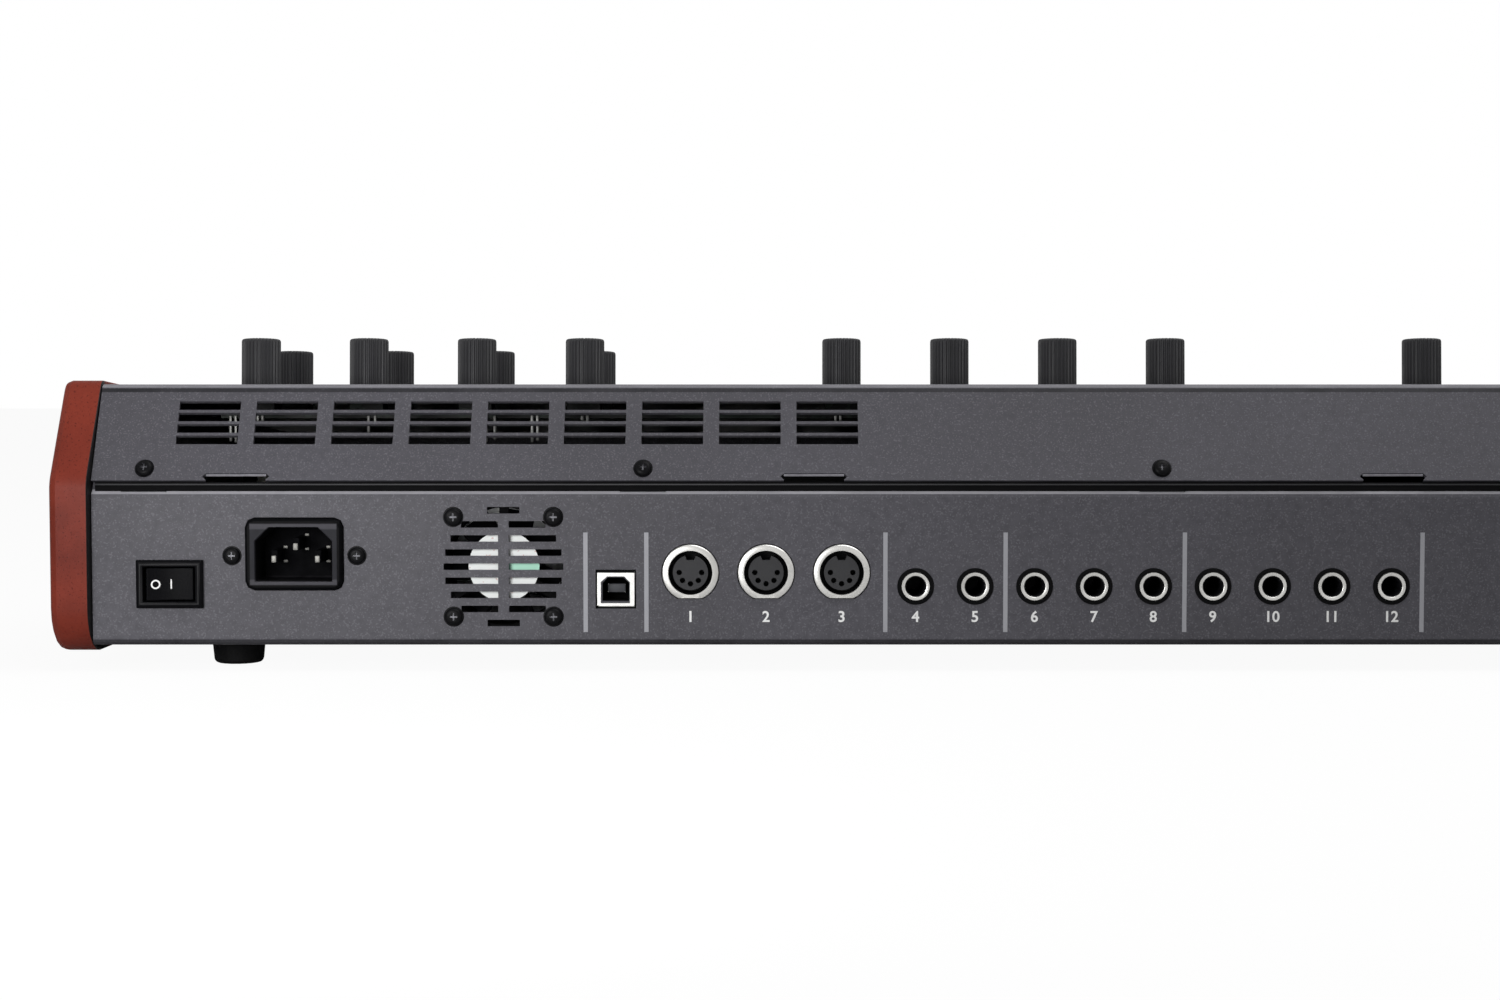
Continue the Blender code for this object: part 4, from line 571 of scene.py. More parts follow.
# %% Rounded copies of solids
def rounded_copy(node_name, width, segments=3, finish=None):
    """A skin that stands for a solid, its edges rounded by a width in millimetres."""
    source = nodes[node_name]
    bm = bmesh.new()
    bm.from_mesh(source.data)
    bmesh.ops.remove_doubles(bm, verts=bm.verts, dist=2e-6)
    bmesh.ops.dissolve_limit(bm, angle_limit=math.radians(0.3), verts=bm.verts, edges=bm.edges,
                             delimit={"NORMAL"})
    made = make_piece(node_name + "_skin", bm, finish or source.data.materials[0],
                      body=source["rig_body"], crease=40.0)
    bevel = made.modifiers.new("rounding", "BEVEL")
    bevel.width = width * MM
    bevel.segments = segments
    bevel.limit_method = "ANGLE"
    bevel.angle_limit = math.radians(35)
    bevel.harden_normals = True
    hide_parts(node_name)


COMBS = [f"{tone}_keys_{octave}" for octave in range(1, 6) for tone in ("white", "black")]
for name in ["right_cheek", "left_cheek", *COMBS, "top_c_key"]:
    rounded_copy(name, 0.5)
for name in ("pitch_lever", "mod_lever"):
    rounded_copy(name, 0.8)
for corner in ("rear_right", "rear_left", "front_right", "front_left"):
    rounded_copy("foot_" + corner, 0.5)
rounded_copy("power_switch_frame", 0.3, 2, GLOSS)
rounded_copy("end_block", 0.6)

# %% [markdown]
# # Knobs
#
# The knobs are straight charcoal cylinders with fine ribs and a rounded top edge. A circle of
# points is pulled in at every other pair to make ribs, then extruded ring by ring. The top is
# slightly dished, with a pale pointer line. The rear row has five sections of four knobs. Its
# first nine turn, and so do the four in the row ahead of it.

# %% Knob recipe
RIBS = 30
RIB_DEPTH = 0.5 * MM
knob_low, knob_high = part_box("rear_knob_1")
KNOB_RADIUS = (knob_high.x - knob_low.x) / 2 + 0.15 * MM
KNOB_TOP = (knob_high.z - first_knob.z) / math.cos(panel_slope)
KNOB_TOP -= KNOB_RADIUS * math.tan(panel_slope) + 0.05 * MM


def add_knob(bm, place, radius, foot, top):
    """A ribbed knob and its pointer; each ring is a share of the radius and a height."""
    ring = bmesh.ops.create_circle(bm, segments=RIBS * 4, radius=radius)["verts"]
    grooves = [vert for index, vert in enumerate(ring) if index % 4 < 2]
    shrink = 1 - RIB_DEPTH / radius
    bmesh.ops.scale(bm, verts=grooves, vec=(shrink, shrink, 1))
    bmesh.ops.translate(bm, verts=ring, vec=(0, 0, foot))
    edges = list({side for vert in ring for side in vert.link_edges})
    made = list(ring)
    rings = [(1.0, foot + 0.25 * MM), (0.955, foot + 0.3 * MM), (0.955, foot + 0.75 * MM),
             (1.0, foot + 0.8 * MM), (1.0, top - 1.0 * MM), (0.985, top - 0.45 * MM),
             (0.94, top - 0.12 * MM), (0.87, top), (0.80, top - 0.12 * MM), (0.70, top - 0.3 * MM)]
    share, height = 1.0, foot
    for next_share, next_height in rings:
        grown = bmesh.ops.extrude_edge_only(bm, edges=edges)
        verts = pushed(bm, grown, next_height - height)
        edges = [item for item in grown["geom"] if isinstance(item, bmesh.types.BMEdge)]
        factor = next_share / share
        bmesh.ops.scale(bm, verts=verts, vec=(factor, factor, 1))
        share, height = next_share, next_height
        made += verts
    bmesh.ops.contextual_create(bm, geom=edges)
    bmesh.ops.transform(bm, matrix=place, verts=made)
    pointer = place @ Matrix.Translation((0, KNOB_RADIUS * 0.44, top - 0.2 * MM))
    add_slab(bm, (0.9, KNOB_RADIUS / MM * 0.86, 0.3), pointer, 0.08, material=1)


def knob_place(section, column, ahead=0.0, lift=0.0):
    """A place in a section's column of knobs and buttons."""
    x = first_knob.x - section * section_pitch - column * knob_pitch
    return on_panel(x, ahead, lift)


SECTIONS, COLUMNS, TURNING = 5, 4, 9
rear_places = [knob_place(*divmod(index, COLUMNS)) for index in range(SECTIONS * COLUMNS)]
second_places = [knob_place(0, column, row_ahead) for column in range(COLUMNS)]
moving = [(f"rear_knob_{index}", place) for index, place in enumerate(rear_places[:TURNING], 1)]
moving += [(f"second_row_knob_{index}", place) for index, place in enumerate(second_places, 1)]
for name, place in moving:
    bm = bmesh.new()
    add_knob(bm, place, KNOB_RADIUS, 0.5 * MM, KNOB_TOP)
    grip = make_piece(name + "_grip", bm, [KNOB, PALE_MARK], body=name, crease=50.0)
    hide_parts(name)
print(len(moving), "turning knobs,", round(KNOB_TOP * 1000, 2), "mm tall over the panel")

# %% [markdown]
# # Covers for the fixed knobs
#
# The rest of the rear row is part of the panel's solid. The same recipe, a hair larger,
# covers each of those knobs, all in one piece.

# %% Covers for the fixed knobs
COVER_RADIUS, COVER_TOP = KNOB_RADIUS + 0.27 * MM, KNOB_TOP + 0.05 * MM
fixed = rear_places[TURNING:]
bm = bmesh.new()
for place in fixed:
    add_knob(bm, place, COVER_RADIUS, 0.25 * MM, COVER_TOP)
covers = make_piece("fixed_knob_covers", bm, [KNOB, PALE_MARK], crease=50.0)
print(len(fixed), "fixed knobs covered")

# %% [markdown]
# # Screws
#
# The lid, the inlet and the fan are held by black pan-head screws with a cross recess. The
# head is turned from a profile; its flat top is cut by planes two ways, and the cells that
# form the cross are pushed in, as a driver bit would leave them.

# %% Screw recipe
HEAD = ((1.13, 0), (1.13, 0.08), (1, 0.1), (1, 0.35), (0.93, 0.68), (0.74, 0.93), (0.52, 1))


def screw_piece(name, place, radius, height):
    """A pan head in millimetres; its profile is in shares of its radius and height."""
    bm = bmesh.new()
    profile = [(radius * across, height * up) for across, up in HEAD]
    add_turned(bm, profile, Matrix.Identity(4), 28)
    rim = [vert for vert in bm.verts if vert.co.z > height * MM * 0.99]
    edges = [side for side in bm.edges if all(vert in rim for vert in side.verts)]
    faces = bmesh.ops.contextual_create(bm, geom=edges)["faces"]
    slot, reach = radius * MM * 0.10, radius * MM * 0.44
    for axis in ((1, 0, 0), (0, 1, 0)):
        for offset in (-reach, -slot, slot, reach):
            verts = {vert for face in faces for vert in face.verts}
            sides = {side for face in faces for side in face.edges}
            cut = bmesh.ops.bisect_plane(bm, geom=list(faces) + list(sides) + list(verts),
                                         plane_co=Vector(axis) * offset, plane_no=axis, dist=1e-7)
            faces = [item for item in cut["geom"] if isinstance(item, bmesh.types.BMFace)]
    cross = []
    for face in faces:
        middle = face.calc_center_median()
        near, far = sorted((abs(middle.x), abs(middle.y)))
        if near < slot and far < reach:
            cross.append(face)
    low = pushed(bm, bmesh.ops.extrude_face_region(bm, geom=cross), -height * MM * 0.5)
    for face in {face for vert in low for face in vert.link_faces}:
        face.material_index = 1
    bmesh.ops.delete(bm, geom=cross, context="FACES_ONLY")
    make_piece(name, bm, [SCREW, WORN], place=place)


inlet_middle = middle_of("power_inlet")
fan_middle = middle_of("fan_frame")
FAN_SCREW, INLET_SCREW = 16 * MM, 20 * MM
for index, side in enumerate((1, -1), 1):
    place = on_wall(inlet_middle.x + side * INLET_SCREW, inlet_middle.z - 0.5 * MM)
    screw_piece(f"inlet_screw_{index}", place, 2.75, 1.6)
for index, (side, rise) in enumerate(((1, 1), (-1, 1), (1, -1), (-1, -1)), 1):
    place = on_wall(fan_middle.x + side * FAN_SCREW, fan_middle.z + rise * FAN_SCREW)
    screw_piece(f"fan_screw_{index}", place, 2.9, 1.6)
print("inlet screws", 2 * INLET_SCREW, "m apart, fan screws", 2 * FAN_SCREW)

# %% [markdown]
# # The leaning face of the lid
#
# The lid's rear face leans forward. Its screws sit near its lower edge, so their place is a
# point on that slope, found from the lower and upper edges of the solid's face.

# %% Lid screws
SCREW_INSETS = (16.7 * MM, 176.5 * MM, 342.8 * MM)
LID_SCREWS = [side * (case_half - inset) for side in (1, -1) for inset in SCREW_INSETS]
LID_SCREW_UP = 4.2 * MM


def on_lid_face(x, up, out=0.0):
    """A place on the leaning face, up metres from its lower edge."""
    foot = Matrix.Translation((x, lid_foot.y, lid_foot.z))
    return foot @ Matrix.Rotation(lean, 4, "X") @ on_wall(0, up, out - wall_y)


for index, x in enumerate(LID_SCREWS, 1):
    screw_piece(f"lid_screw_{index}", on_lid_face(x, LID_SCREW_UP), 2.75, 1.5)
print(len(LID_SCREWS), "lid screws")

# %% [markdown]
# # The seam under the lid
#
# Between the lid and the wall runs a dark seam with a fainter line in its middle. A black strip
# behind the lid's lower edge paints the seam's shade, and a grey lip runs along its middle. The
# tabs that take the lid's screws rise through the seam, and a black pad on each paints their
# shade. The notches in the lid's edge get a lower lip in a lighter coat, a painted highlight.

# %% Seam strip
strip = 2 * (case_half / MM - 1)
seam_shade_low, seam_shade_high = wall_top + 1.9 * MM, lid_foot.z - 0.65 * MM
# A black strip paints the shade in the seam.
slab_piece("lid_seam_shade_strip", (strip, (seam_shade_high - seam_shade_low) / MM, 0.2),
           [on_wall(0, (seam_shade_low + seam_shade_high) / 2, -1.1 * MM)], BLACK_AND_PAINTED_SHADE)
slab_piece("lid_seam_lip", (strip, 0.5, 0.3),
           [on_wall(0, lid_foot.z - 1.35 * MM, -0.9 * MM)], CORE, 0.1)
NOTCH_INSETS = (46.2 * MM, 231.3 * MM, 416.7 * MM)
NOTCHES = [side * (case_half - inset) for side in (1, -1) for inset in NOTCH_INSETS]
# The notch lips get the lighter coat, a painted highlight.
slab_piece("lid_notch_lips", (19.4, 0.8, 0.5),
           [on_lid_face(x, 1.95 * MM, -0.35 * MM) for x in NOTCHES], EDGE, 0.2)
# Black pads paint the shade on the screw tabs.
slab_piece("screw_tab_shade_pads", (14.6, 1.9, 0.1),
           [on_lid_face(x, -2.1 * MM, -2.03 * MM) for x in LID_SCREWS], BLACK_AND_PAINTED_SHADE)
print("seam strip", round(strip), "mm long")

# %% [markdown]
# # Jacks
#
# Each jack shows three rings: a black one that covers its hole's edge, a bright nickel bush
# inside it, and the dark bore, where the bush's inner edge is painted black as painted shade.
# The rings are turned and sit round the solid's bore, whose axis lies a known drop below the
# top of the jack's body. The list goes from +X to -X.

# %% Jack rims
JACKS = sorted((name for name in nodes if "_jack" in name), key=lambda name: -middle_of(name).x)
BLACK_RING = [(5.9, 0), (5.9, 0.25), (5.75, 0.32), (4.6, 0.32), (4.55, 0.2), (4.55, 0.0)]
BUSH = [(4.57, 0.0), (4.57, 0.55), (4.45, 0.75), (3.55, 0.75), (3.4, 0.65)]
# Painted shade: the bush's inner edge and the bore are black.
PAINTED_BORE_SHADE = [(3.4, 0.65), (3.3, 0.3), (3.25, 0.1), (3.25, -3.0)]
JACK_DROP = 6.8 * MM
jack_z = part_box("phones_jack")[1].z - JACK_DROP
for name in JACKS:
    at = on_wall(middle_of(name).x, jack_z)
    bm = bmesh.new()
    for profile, material in ((BLACK_RING, 1), (BUSH, 0), (PAINTED_BORE_SHADE, 1)):
        add_turned(bm, profile, at, 40, material)
    make_piece(name + "_bush", bm, [SATIN, BLACK_AND_PAINTED_SHADE], crease=50.0)
print(len(JACKS), "jacks at height", round(jack_z * 1000, 2))

# %% [markdown]
# # Round sockets
#
# A five-pin socket has a bright ring with a flat foot, a dark gap, and a grey core with five
# holes and a key notch. The gap is a black well inside the ring, painted shade. The core's face
# is a filled plate: one outer loop and five small loops are filled together, so that the holes
# are real, and then all loops are pushed back.

# %% Round socket parts
ROUND_SOCKETS = ["midi_socket_in", "midi_socket_out", "midi_socket_thru"]
RING = [(6.95, 0.0), (6.95, 0.5), (7.1, 0.8), (8.6, 0.8), (8.95, 0.6), (9.1, 0.3), (9.1, 0.0)]
WELL_SHADE = [(6.94, -6), (6.94, 0.3), (6.6, 0.3), (6.6, -6)]
SOCKET_DROP, FLAT_DROP = 10.0 * MM, 8.1 * MM
midi_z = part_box("midi_socket_in")[1].z - SOCKET_DROP
PIN_CIRCLE, PIN_HOLE = 3.6 * MM, 0.9 * MM
KEY_NOTCH_FOOT, KEY_NOTCH_HALF = 4.0 * MM, 1.3 * MM


def core_piece(name, place, radius, depth):
    """The core: a plate with a notch and five holes, whose edges are pushed back."""
    bm = bmesh.new()
    outline = bmesh.ops.create_circle(bm, segments=60, radius=radius)["verts"]
    for vert in outline:
        if abs(vert.co.x) < KEY_NOTCH_HALF and vert.co.y > 0:
            vert.co.y = KEY_NOTCH_FOOT
    for angle in range(180, 361, 45):
        turn = math.radians(angle)
        hole = bmesh.ops.create_circle(bm, segments=14, radius=PIN_HOLE)["verts"]
        middle = Vector((math.cos(turn), math.sin(turn), 0)) * PIN_CIRCLE
        bmesh.ops.translate(bm, verts=hole, vec=middle)
    loops = bm.edges[:]
    bmesh.ops.triangle_fill(bm, edges=loops, use_beauty=True, use_dissolve=False)
    pushed(bm, bmesh.ops.extrude_edge_only(bm, edges=loops), -depth)
    make_piece(name, bm, CORE, place=place)


for name in ROUND_SOCKETS:
    x = middle_of(name).x
    bm = bmesh.new()
    add_turned(bm, RING, Matrix.Identity(4), 64)
    bmesh.ops.bisect_plane(bm, geom=bm.verts[:] + bm.edges[:] + bm.faces[:], dist=1e-7,
                           plane_co=(0, -FLAT_DROP, 0), plane_no=(0, -1, 0), clear_outer=True)
    cut = {vert for vert in bm.verts if abs(vert.co.y + FLAT_DROP) < 1e-6}
    rim = [side for side in bm.edges if side.is_boundary and cut.issuperset(side.verts)]
    bmesh.ops.holes_fill(bm, edges=rim, sides=0)
    make_piece(name + "_rim", bm, SATIN, crease=50.0, place=on_wall(x, midi_z))
    core_piece(name + "_core", on_wall(x, midi_z, -0.4 * MM), 5.65 * MM, 5 * MM)
    # Painted shade: a black well lines the inside of the ring.
    bm = bmesh.new()
    add_turned(bm, WELL_SHADE, on_wall(x, midi_z), 48)
    make_piece(name + "_well_shade", bm, BLACK_AND_PAINTED_SHADE)
print("round sockets at height", round(midi_z * 1000, 2))

# %% [markdown]
# # Fan label
#
# Behind the grille the fan's fixed hub carries a round paper label, which shows pale through
# the slots.

# %% Fan hub label
DISC = [(0, 0), (11.35, 0), (11.4, 0.05), (11.35, 0.1), (0, 0.1)]
fan_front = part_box("fan_frame")[1].y
bm = bmesh.new()
add_turned(bm, DISC, on_wall(fan_middle.x, fan_middle.z, fan_front - wall_y - 0.3 * MM), 48)
make_piece("fan_hub_label", bm, LABEL)
print("label behind the wall by", round((wall_y - fan_front) * 1000, 2), "mm")

# %% [markdown]
# # Pins behind the vents
#
# Through the vents a few tinned pins of the panel's circuit board catch the light. They hang
# from the board's rear edge in small groups, so slim slabs in a row are enough. Each has its
# place along the wall and the height of its lower end, in millimetres.

# %% Solder pins
board_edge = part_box("panel_board")[1].y
PINS = ((449.3, 73.0), (447.6, 72.6), (440.2, 79.6), (438.6, 79.8), (403.4, 76.0), (401.2, 78.6),
        (364.2, 72.9), (361.4, 73.6), (349.0, 72.8), (347.2, 73.2), (332.3, 79.8), (330.6, 79.2),
        (248.0, 79.6), (246.4, 79.9))
PIN_TOP = 81.6
bm = bmesh.new()
for x, low in PINS:
    place = on_wall(x * MM, (PIN_TOP + low) / 2 * MM, board_edge + 0.45 * MM - wall_y)
    add_slab(bm, (0.9, PIN_TOP - low, 0.7), place, 0.15)
make_piece("board_edge_pins", bm, TINNED)
print(len(PINS), "pins behind the vents")

# %% [markdown]
# # Marks on the wall
#
# Thin light lines part the groups of connectors, and small plain numbers stand under the
# sockets. Each is a low relief of a tenth of a millimetre, as thick as printed ink may be.

# %% Divider lines and plain numbers
def add_number(bm, text, height, place):
    """A centred number, so many millimetres high, made a mesh before it gets its place."""
    curve = bpy.data.curves.new("figure", "FONT")
    curve.body = text
    curve.size = height * 1.4 * MM
    curve.align_x = "CENTER"
    curve.align_y = "CENTER"
    curve.extrude = 0.04 * MM
    curve.offset = height * 0.03 * MM
    curve.resolution_u = 3
    holder = new_object("figure", curve)
    ready = holder.evaluated_get(bpy.context.evaluated_depsgraph_get())
    mesh = bpy.data.meshes.new_from_object(ready)
    bpy.data.objects.remove(holder)
    mesh.transform(place)
    bm.from_mesh(mesh)
    bpy.data.meshes.remove(mesh)


DIVIDERS = (328.9, 309.4, 232.8, 194.3, 136.9, 60.8)
DIVIDER_Z, NUMBER_Z = 28.7 * MM, 17.5 * MM
slab_piece("wall_divider_lines", (1.4, 32, 0.1),
           [on_wall(x * MM, DIVIDER_Z) for x in DIVIDERS], MARK)
bm = bmesh.new()
for index, name in list(enumerate(JACKS, 4)) + list(enumerate(ROUND_SOCKETS, 1)):
    add_number(bm, str(index), 3.5, on_wall(middle_of(name).x, NUMBER_Z, 0.05 * MM))
make_piece("wall_numbers", bm, PALE_MARK)
print(len(DIVIDERS), "lines and", len(JACKS + ROUND_SOCKETS), "numbers on the wall")

# %% [markdown]
# # The power rocker
#
# The rocker is a shallow V whose halves carry a ring for off and a bar for on. The marks sit
# in the faces of the V, so they tilt with it.

# %% Rocker and its marks
rounded_copy("power_rocker", 0.35, finish=GLOSS)
pivot = Vector(joints["power_rocker_tilt"]["pos_m"])
rocker = nodes["power_rocker"].data
rocker_faces = BVHTree.FromPolygons([vert.co for vert in rocker.vertices],
                                    [face.vertices for face in rocker.polygons])


def on_rocker(across):
    """Where a line from behind, across metres from the pivot, meets the rocker's face."""
    start = Vector((pivot.x + across, 2 * wall_y, middle_of("power_rocker").z))
    point, normal = rocker_faces.ray_cast(start, Vector((0, -1, 0)))[:2]
    turn = Matrix.Rotation(-math.atan2(normal.x, normal.y), 4, "Z")
    return Matrix.Translation(point) @ turn @ on_wall(0, 0, -wall_y)


OFF_RING = [(1.0, 0.0), (1.0, 0.04), (1.5, 0.04), (1.5, 0.0)]
bm = bmesh.new()
add_turned(bm, OFF_RING, on_rocker(4.15 * MM), 28)
add_slab(bm, (0.45, 3.0, 0.06), on_rocker(-0.45 * MM))
make_piece("rocker_off_and_on_marks", bm, PALE_MARK, body="power_rocker")
print("the rocker tilts about", [round(part, 4) for part in pivot])

# %% [markdown]
# # The switch frame
#
# A fine raised bead runs round the frame. It starts as one flat face, which is inset to make
# a ring; the middle is removed and the ring is extruded a little.

# %% Bead round the switch frame
BEAD_INSET = 2.6 * MM
frame_low, frame_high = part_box("power_switch_frame")
frame_middle = (frame_low + frame_high) / 2
bead_size = (frame_high.x - frame_low.x - BEAD_INSET, frame_high.z - frame_low.z - BEAD_INSET, 1.0)
bm = bmesh.new()
bmesh.ops.create_grid(bm, x_segments=1, y_segments=1, size=0.5)
bmesh.ops.scale(bm, verts=bm.verts, vec=bead_size)
middle_face = bm.faces[:]
bmesh.ops.inset_region(bm, faces=middle_face, thickness=0.3 * MM, use_boundary=True,
                       use_even_offset=True)
bmesh.ops.delete(bm, geom=middle_face, context="FACES")
pushed(bm, bmesh.ops.extrude_face_region(bm, geom=bm.faces[:]), 0.12 * MM)
make_piece("switch_frame_bead", bm, CONNECTOR,
           place=on_wall(frame_middle.x, frame_middle.z, frame_high.y - wall_y - 0.02 * MM))
print("bead", [round(part * 1000, 1) for part in bead_size[:2]], "mm")

# %% [markdown]
# # The mains inlet
#
# The inlet is a black moulding whose flat rim is grey inside a black outer edge, lighter at its
# top and bottom, with a deep recess. Painted shade darkens the finish with depth into the recess.
# The blades end in narrow nickel tips, and their shoulders show as small plates on the floor of
# the recess.

# %% Inlet finish and blades
OUTLINE = 1.0 * MM


def inlet_plastic():
    plastic = Finish("inlet_plastic")
    grain = plastic.noise(2000.0, 2.0)
    cloud = plastic.noise(300.0, 3.0)
    rear_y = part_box("power_inlet")[1].y
    widths, heights = zip(*((point.x, point.z) for point in rear_points("power_inlet")))
    reach_x = max(widths) - inlet_middle.x
    reach_z = (max(heights) - min(heights)) / 2
    across = abs(plastic.axis("X") - inlet_middle.x) - (reach_x - OUTLINE)
    upright = abs(plastic.axis("Z") - inlet_middle.z) - (reach_z - OUTLINE)
    rim = plastic.step(plastic.sum("MAXIMUM", across, upright), 0.2 * MM, -0.1 * MM)
    ends = plastic.step(upright, -1.9 * MM, -1.4 * MM)
    # Painted shade: the finish gets darker with depth into the recess.
    inside = plastic.step(plastic.axis("Y"), rear_y - 0.3 * MM, rear_y - 2.5 * MM)
    base = plastic.mix(grain, "030304", "09090b")
    rim_grey = plastic.mix(ends, "2f2f33", "4c4b50")
    base = plastic.mix(rim * (0.7 + cloud * 0.3), base, rim_grey)
    base = plastic.mix(inside * (0.75 + cloud * 0.3), base, "050506")
    return plastic.done(Base_Color=base, Roughness=0.34 + grain * 0.1 + inside * 0.4,
                        Specular_IOR_Level=0.03, Normal=plastic.bump(grain, 0.01, 0.5))


rounded_copy("power_inlet", 0.3, finish=inlet_plastic())
TIP_BACK, SHOULDER_BACK = 3.0 * MM, 14.0 * MM
bm = bmesh.new()
for across, rise in ((-7, -1), (7, -1), (0, 3)):
    x, z = inlet_middle.x + across * MM, inlet_middle.z + rise * MM
    add_slab(bm, (1.6, 2.3, 1.2), on_wall(x + 0.2 * MM, z - 0.85 * MM, -TIP_BACK), 0.35)
    for side in (2.3 * MM, -2.3 * MM):
        add_slab(bm, (1.4, 0.9, 0.8), on_wall(x - 1.4 * MM, z + side, -SHOULDER_BACK), 0.2)
make_piece("inlet_blades", bm, BLADE)
print("three blades, their tips", round(TIP_BACK * 1000, 1), "mm behind the wall")

# %% [markdown]
# # The USB socket
#
# Inside the bright shell a black liner paints the shade in the mouth. The liner is a six-sided
# cup: an outline is pushed back, its front is removed and the walls get a thickness.

# %% USB liner
MOUTH = [(-4.3, -3.8), (4.3, -3.8), (4.3, 2.0), (2.5, 3.8), (-2.5, 3.8), (-4.3, 2.0)]
MOUTH_DROP, MOUTH_DEPTH = 5.25 * MM, 10.6 * MM
usb_middle = middle_of("usb_socket")
usb_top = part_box("usb_socket")[1].z
mouth_z = usb_top - MOUTH_DROP


def add_loop(bm, points):
    """New vertices in the plane of the mouth, from places in millimetres."""
    return [bm.verts.new((x * MM, y * MM, 0)) for x, y in points]


# Painted shade: the mouth is lined in black.
bm = bmesh.new()
front = bm.faces.new(add_loop(bm, MOUTH))
cup = bmesh.ops.extrude_face_region(bm, geom=[front], use_keep_orig=True)
pushed(bm, cup, -MOUTH_DEPTH)
bmesh.ops.delete(bm, geom=[front], context="FACES_ONLY")
bmesh.ops.solidify(bm, geom=bm.faces[:], thickness=0.12 * MM)
make_piece("usb_mouth_shade_liner", bm, BLACK_AND_PAINTED_SHADE, place=on_wall(usb_middle.x, mouth_z, -0.25 * MM))
print("usb mouth at height", round(mouth_z * 1000, 2))

# %% [markdown]
# # USB lip, gap pad and tongue
#
# A thin grey lip lies over the shell's inner edge, as faces between two loops of six points.
# A black pad paints the shade of the gap between the shell and its cut-out, and a grey tongue
# carries the contacts; both are slabs.

# %% USB lip, gap pad and tongue
LIP_EDGE = [(-4.85, -4.5), (4.5, -4.5), (4.5, 2.2), (2.7, 4.1), (-2.8, 4.1), (-4.85, 2.3)]
bm = bmesh.new()
outer, inner = add_loop(bm, LIP_EDGE), add_loop(bm, MOUTH)
for index in range(len(MOUTH)):
    before = index - 1
    bm.faces.new((outer[before], outer[index], inner[index], inner[before]))
lip = bmesh.ops.extrude_face_region(bm, geom=bm.faces[:], use_keep_orig=True)
pushed(bm, lip, 0.06 * MM)
make_piece("usb_insulator_lip", bm, LIP, place=on_wall(usb_middle.x, mouth_z))
# Painted shade: a black pad over the gap above the shell.
slab_piece("usb_gap_shade", (12.8, 0.9, 0.4),
           [on_wall(usb_middle.x, usb_top + 0.5 * MM, -0.3 * MM)], BLACK_AND_PAINTED_SHADE)
slab_piece("usb_tongue", (5.8, 2.8, 6.8),
           [on_wall(usb_middle.x, mouth_z, -7.8 * MM)], TONGUE, 0.3)
print("a lip of", len(LIP_EDGE), "sides round the mouth")

# %% [markdown]
# # Knob scales
#
# Round each knob the panel carries a scale of eleven fine ticks, 30 degrees apart, with
# plain numbers at every fifth. Each tick is a slim slab, turned about the knob's middle.

# %% Knob scales
FIRST_ANGLE, TICK_ANGLE = 150, 30
bm = bmesh.new()
for place in rear_places + second_places:
    for tick in range(11):
        turn = Matrix.Rotation(math.radians(FIRST_ANGLE - TICK_ANGLE * tick), 4, "Z")
        numbered = tick % 5 == 0
        long = 1.8 if numbered else 1.1
        out = KNOB_RADIUS + (1.6 + long / 2) * MM
        add_slab(bm, (0.3, long, 0.08), place @ turn @ Matrix.Translation((0, out, 0.03 * MM)))
        if numbered:
            spot = turn @ Vector((0, KNOB_RADIUS + 5.2 * MM, 0.06 * MM))
            add_number(bm, str(tick), 2.0, place @ Matrix.Translation(spot))
make_piece("knob_scales", bm, MARK)
print(len(rear_places + second_places), "scales")

# %% [markdown]
# # Section lines, buttons and lamps
#
# Thin lines part the sections, and rows of push buttons stand ahead of the knobs, each with
# a small red lamp behind it. Equal slabs at a list of places give all three.

# %% Section lines, buttons and lamps
gap = section_pitch - (COLUMNS - 1) * knob_pitch
lines = [first_knob.x - section * section_pitch + gap / 2 for section in range(1, SECTIONS)]
slab_piece("panel_section_lines", (0.7, 150, 0.08),
           [on_panel(x, 65 * MM, 0.03 * MM) for x in lines], MARK)
BUTTON_ROWS = ((43, (1, 3, 4)), (73, (1, 3, 4)), (103, (0, 1, 2, 3, 4)))
buttons = [(section, column, ahead * MM) for ahead, sections in BUTTON_ROWS
           for section in sections for column in range(COLUMNS)]
slab_piece("button_caps", (13.4, 7.4, 3.3),
           [knob_place(*button, 2.05 * MM) for button in buttons], CAP, 0.5)
slab_piece("button_lamps", (2.6, 1.3, 0.8),
           [knob_place(section, column, ahead - 7 * MM, 0.3 * MM)
            for section, column, ahead in buttons], RED_LAMP, 0.3)
print(len(lines), "lines and", len(buttons), "buttons")

# %% [markdown]
# # Display figures
#
# A one and a two glow behind the smoked window. Each is made of short bars, and each bar is a
# slim bevelled slab with a place across and along, and a mark that says whether it's upright.

# %% Display figures
BARS = {"top": (0, 2, 0), "middle": (0, 0, 0), "bottom": (0, -2, 0),
        "upper_right": (1, 1, 1), "lower_left": (-1, -1, 1), "lower_right": (1, -1, 1)}
FIGURES = (("upper_right", "lower_right"),
           ("top", "upper_right", "middle", "lower_left", "bottom"))
window_middle = middle_of("display_window")
window_ahead = (first_knob.y - window_middle.y) / math.cos(panel_slope)
window_place = on_panel(window_middle.x, window_ahead)
bm = bmesh.new()
for order, figure in enumerate(FIGURES):
    for bar in figure:
        across, along, upright = BARS[bar]
        size = (0.9, 5.0, 0.1) if upright else (5.0, 0.9, 0.1)
        spot = Vector((across * 3 + (order - 0.5) * 12, along * 3, 0.08)) * MM
        add_slab(bm, size, window_place @ Matrix.Translation(spot), 0.03)
make_piece("display_figures", bm, FIGURE_RED)
print("figures", round(window_ahead * 1000, 1), "mm ahead of the rear knobs")

# %% [markdown]
# # Floor
#
# The picture has a white ground. The floor mixes a lit surface with plain white, so that
# the instrument's soft shadow stays but the rest is as white as the background.

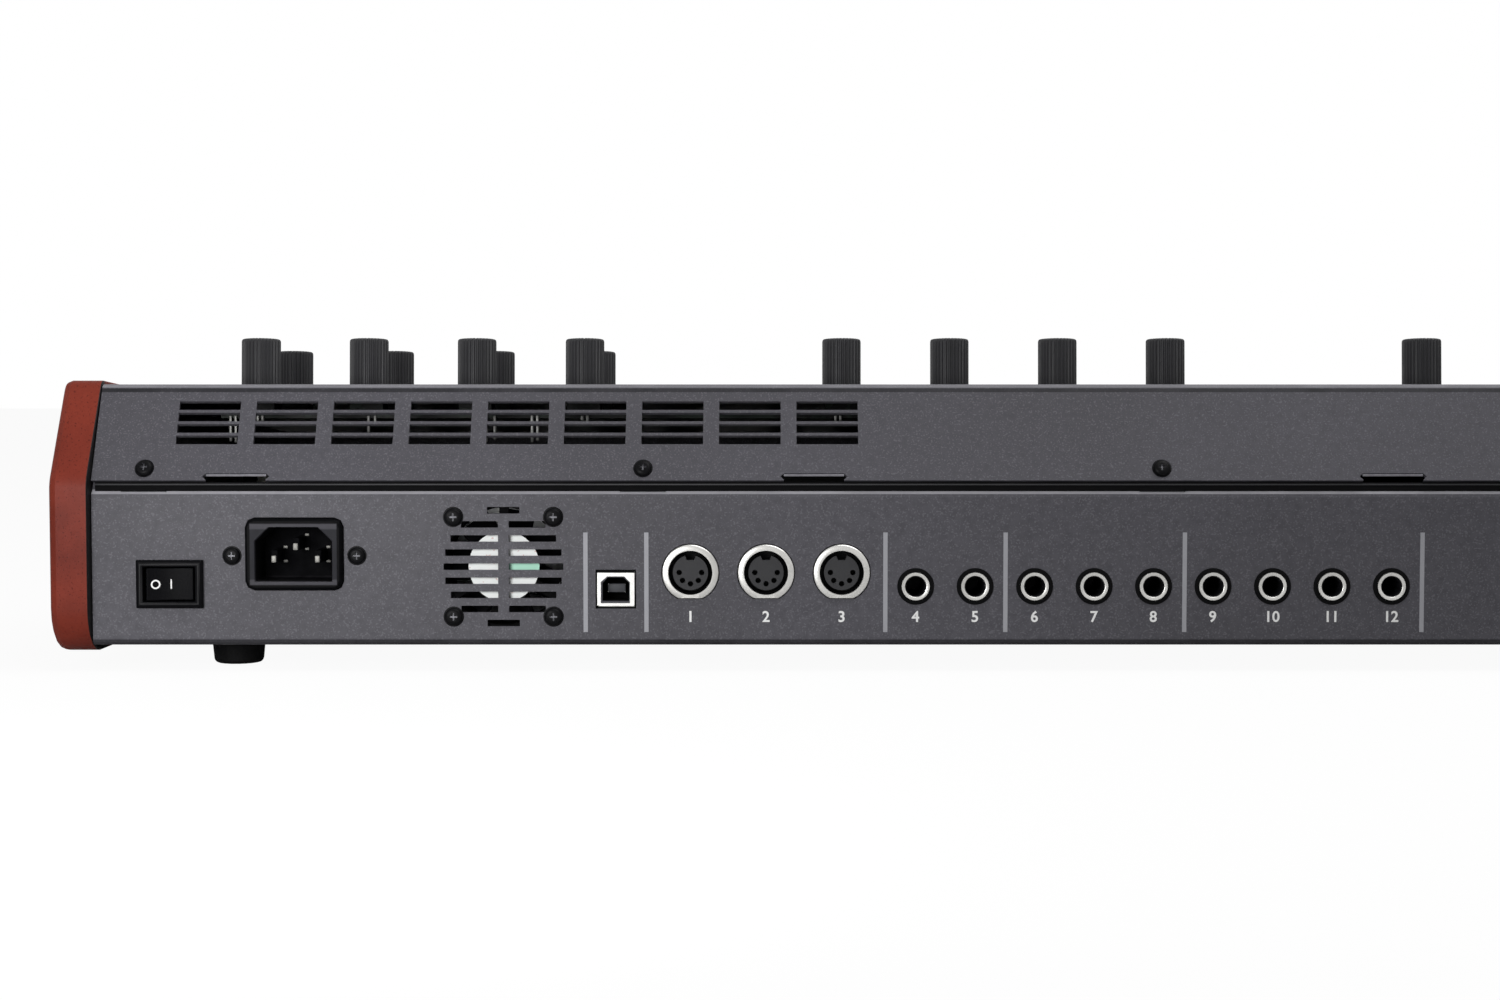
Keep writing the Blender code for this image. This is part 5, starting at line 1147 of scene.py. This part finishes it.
# %% Floor
WHITE_SHARE = 0.945


def floor_finish():
    ground = Finish("pale_floor")
    cloud = ground.noise(3.0, 3.0)
    seen = ground.node("ShaderNodeLightPath", output="Is Camera Ray")
    shiny = ground.node("ShaderNodeLightPath", output="Is Glossy Ray")
    base = ground.mix(cloud, (0.34, 0.34, 0.34), (0.38, 0.38, 0.38))
    base = ground.mix(seen + shiny, base, (0.95, 0.95, 0.95))
    lit = ground.node("ShaderNodeBsdfDiffuse", {}, {"Color": base})
    white = ground.node("ShaderNodeEmission", {}, {"Color": (1, 1, 1, 1), "Strength": 1.0})
    share = seen * WHITE_SHARE
    return ground.end(ground.node("ShaderNodeMixShader", {}, {0: share, 1: lit, 2: white}))


bm = bmesh.new()
bmesh.ops.create_grid(bm, x_segments=8, y_segments=8, size=6.0)
floor = mesh_object("floor", bm, floor_finish())
print("the floor is", [round(side, 1) for side in floor.dimensions[:2]], "m")

# %% [markdown]
# # World
#
# The world is white for the camera and in reflections, but gives only part of the light, so
# that the lamps can shape the instrument.

# %% World
WORLD_LIGHT = 0.19
world = bpy.data.worlds.new("studio")
bpy.context.scene.world = world
sky = Finish(world)
rays = [sky.node("ShaderNodeLightPath", output=ray) for ray in ("Is Camera Ray", "Is Glossy Ray")]
level = sky.sum("MAXIMUM", *rays) * (1 - WORLD_LIGHT) + WORLD_LIGHT
air = sky.node("ShaderNodeBackground", {}, {"Color": (1, 1, 1, 1), "Strength": level})
sky.end(air, "ShaderNodeOutputWorld")
print("the world lights the scene at", WORLD_LIGHT)

# %% [markdown]
# # Lamps
#
# A small soft box near the instrument, at the picture's left, gives the wall its falling
# light. A large one above fills the top and the far end.

# %% Lamps
def soft_lamp(name, place, target, size, power):
    light = bpy.data.lights.new(name, "AREA")
    light.shape = "RECTANGLE"
    light.size, light.size_y = size
    light.energy = power
    stand = new_object(name, light)
    stand.location = place
    aim = Vector(target) - Vector(place)
    stand.rotation_euler = aim.to_track_quat("-Z", "Y").to_euler()


soft_lamp("left_soft_box", (0.50, 0.56, 0.10), (0.38, 0.18, 0.04), (0.20, 0.16), 1.3)
soft_lamp("top_soft_box", (-0.25, 0.35, 1.2), (0.0, 0.1, 0.05), (1.2, 0.8), 12.0)
print(len(bpy.data.lights), "soft lamps")

# %% [markdown]
# # Camera
#
# The photograph looks squarely at the connector side from a little above, close enough that
# the far end of the instrument runs out of the picture.

# %% Camera
lens = bpy.data.cameras.new("camera")
lens.lens = 59.1
lens.sensor_width = 36.0
lens.shift_x = -0.0184
camera = new_object("camera", lens)
camera.location = (0.26734, 0.97095, 0.09512)
camera.rotation_euler = (math.radians(90 - 2.91), 0, math.radians(180))
bpy.context.scene.camera = camera
bpy.context.scene.view_settings.view_transform = "Standard"
print("camera looks at the connectors from", [round(part, 3) for part in camera.location])
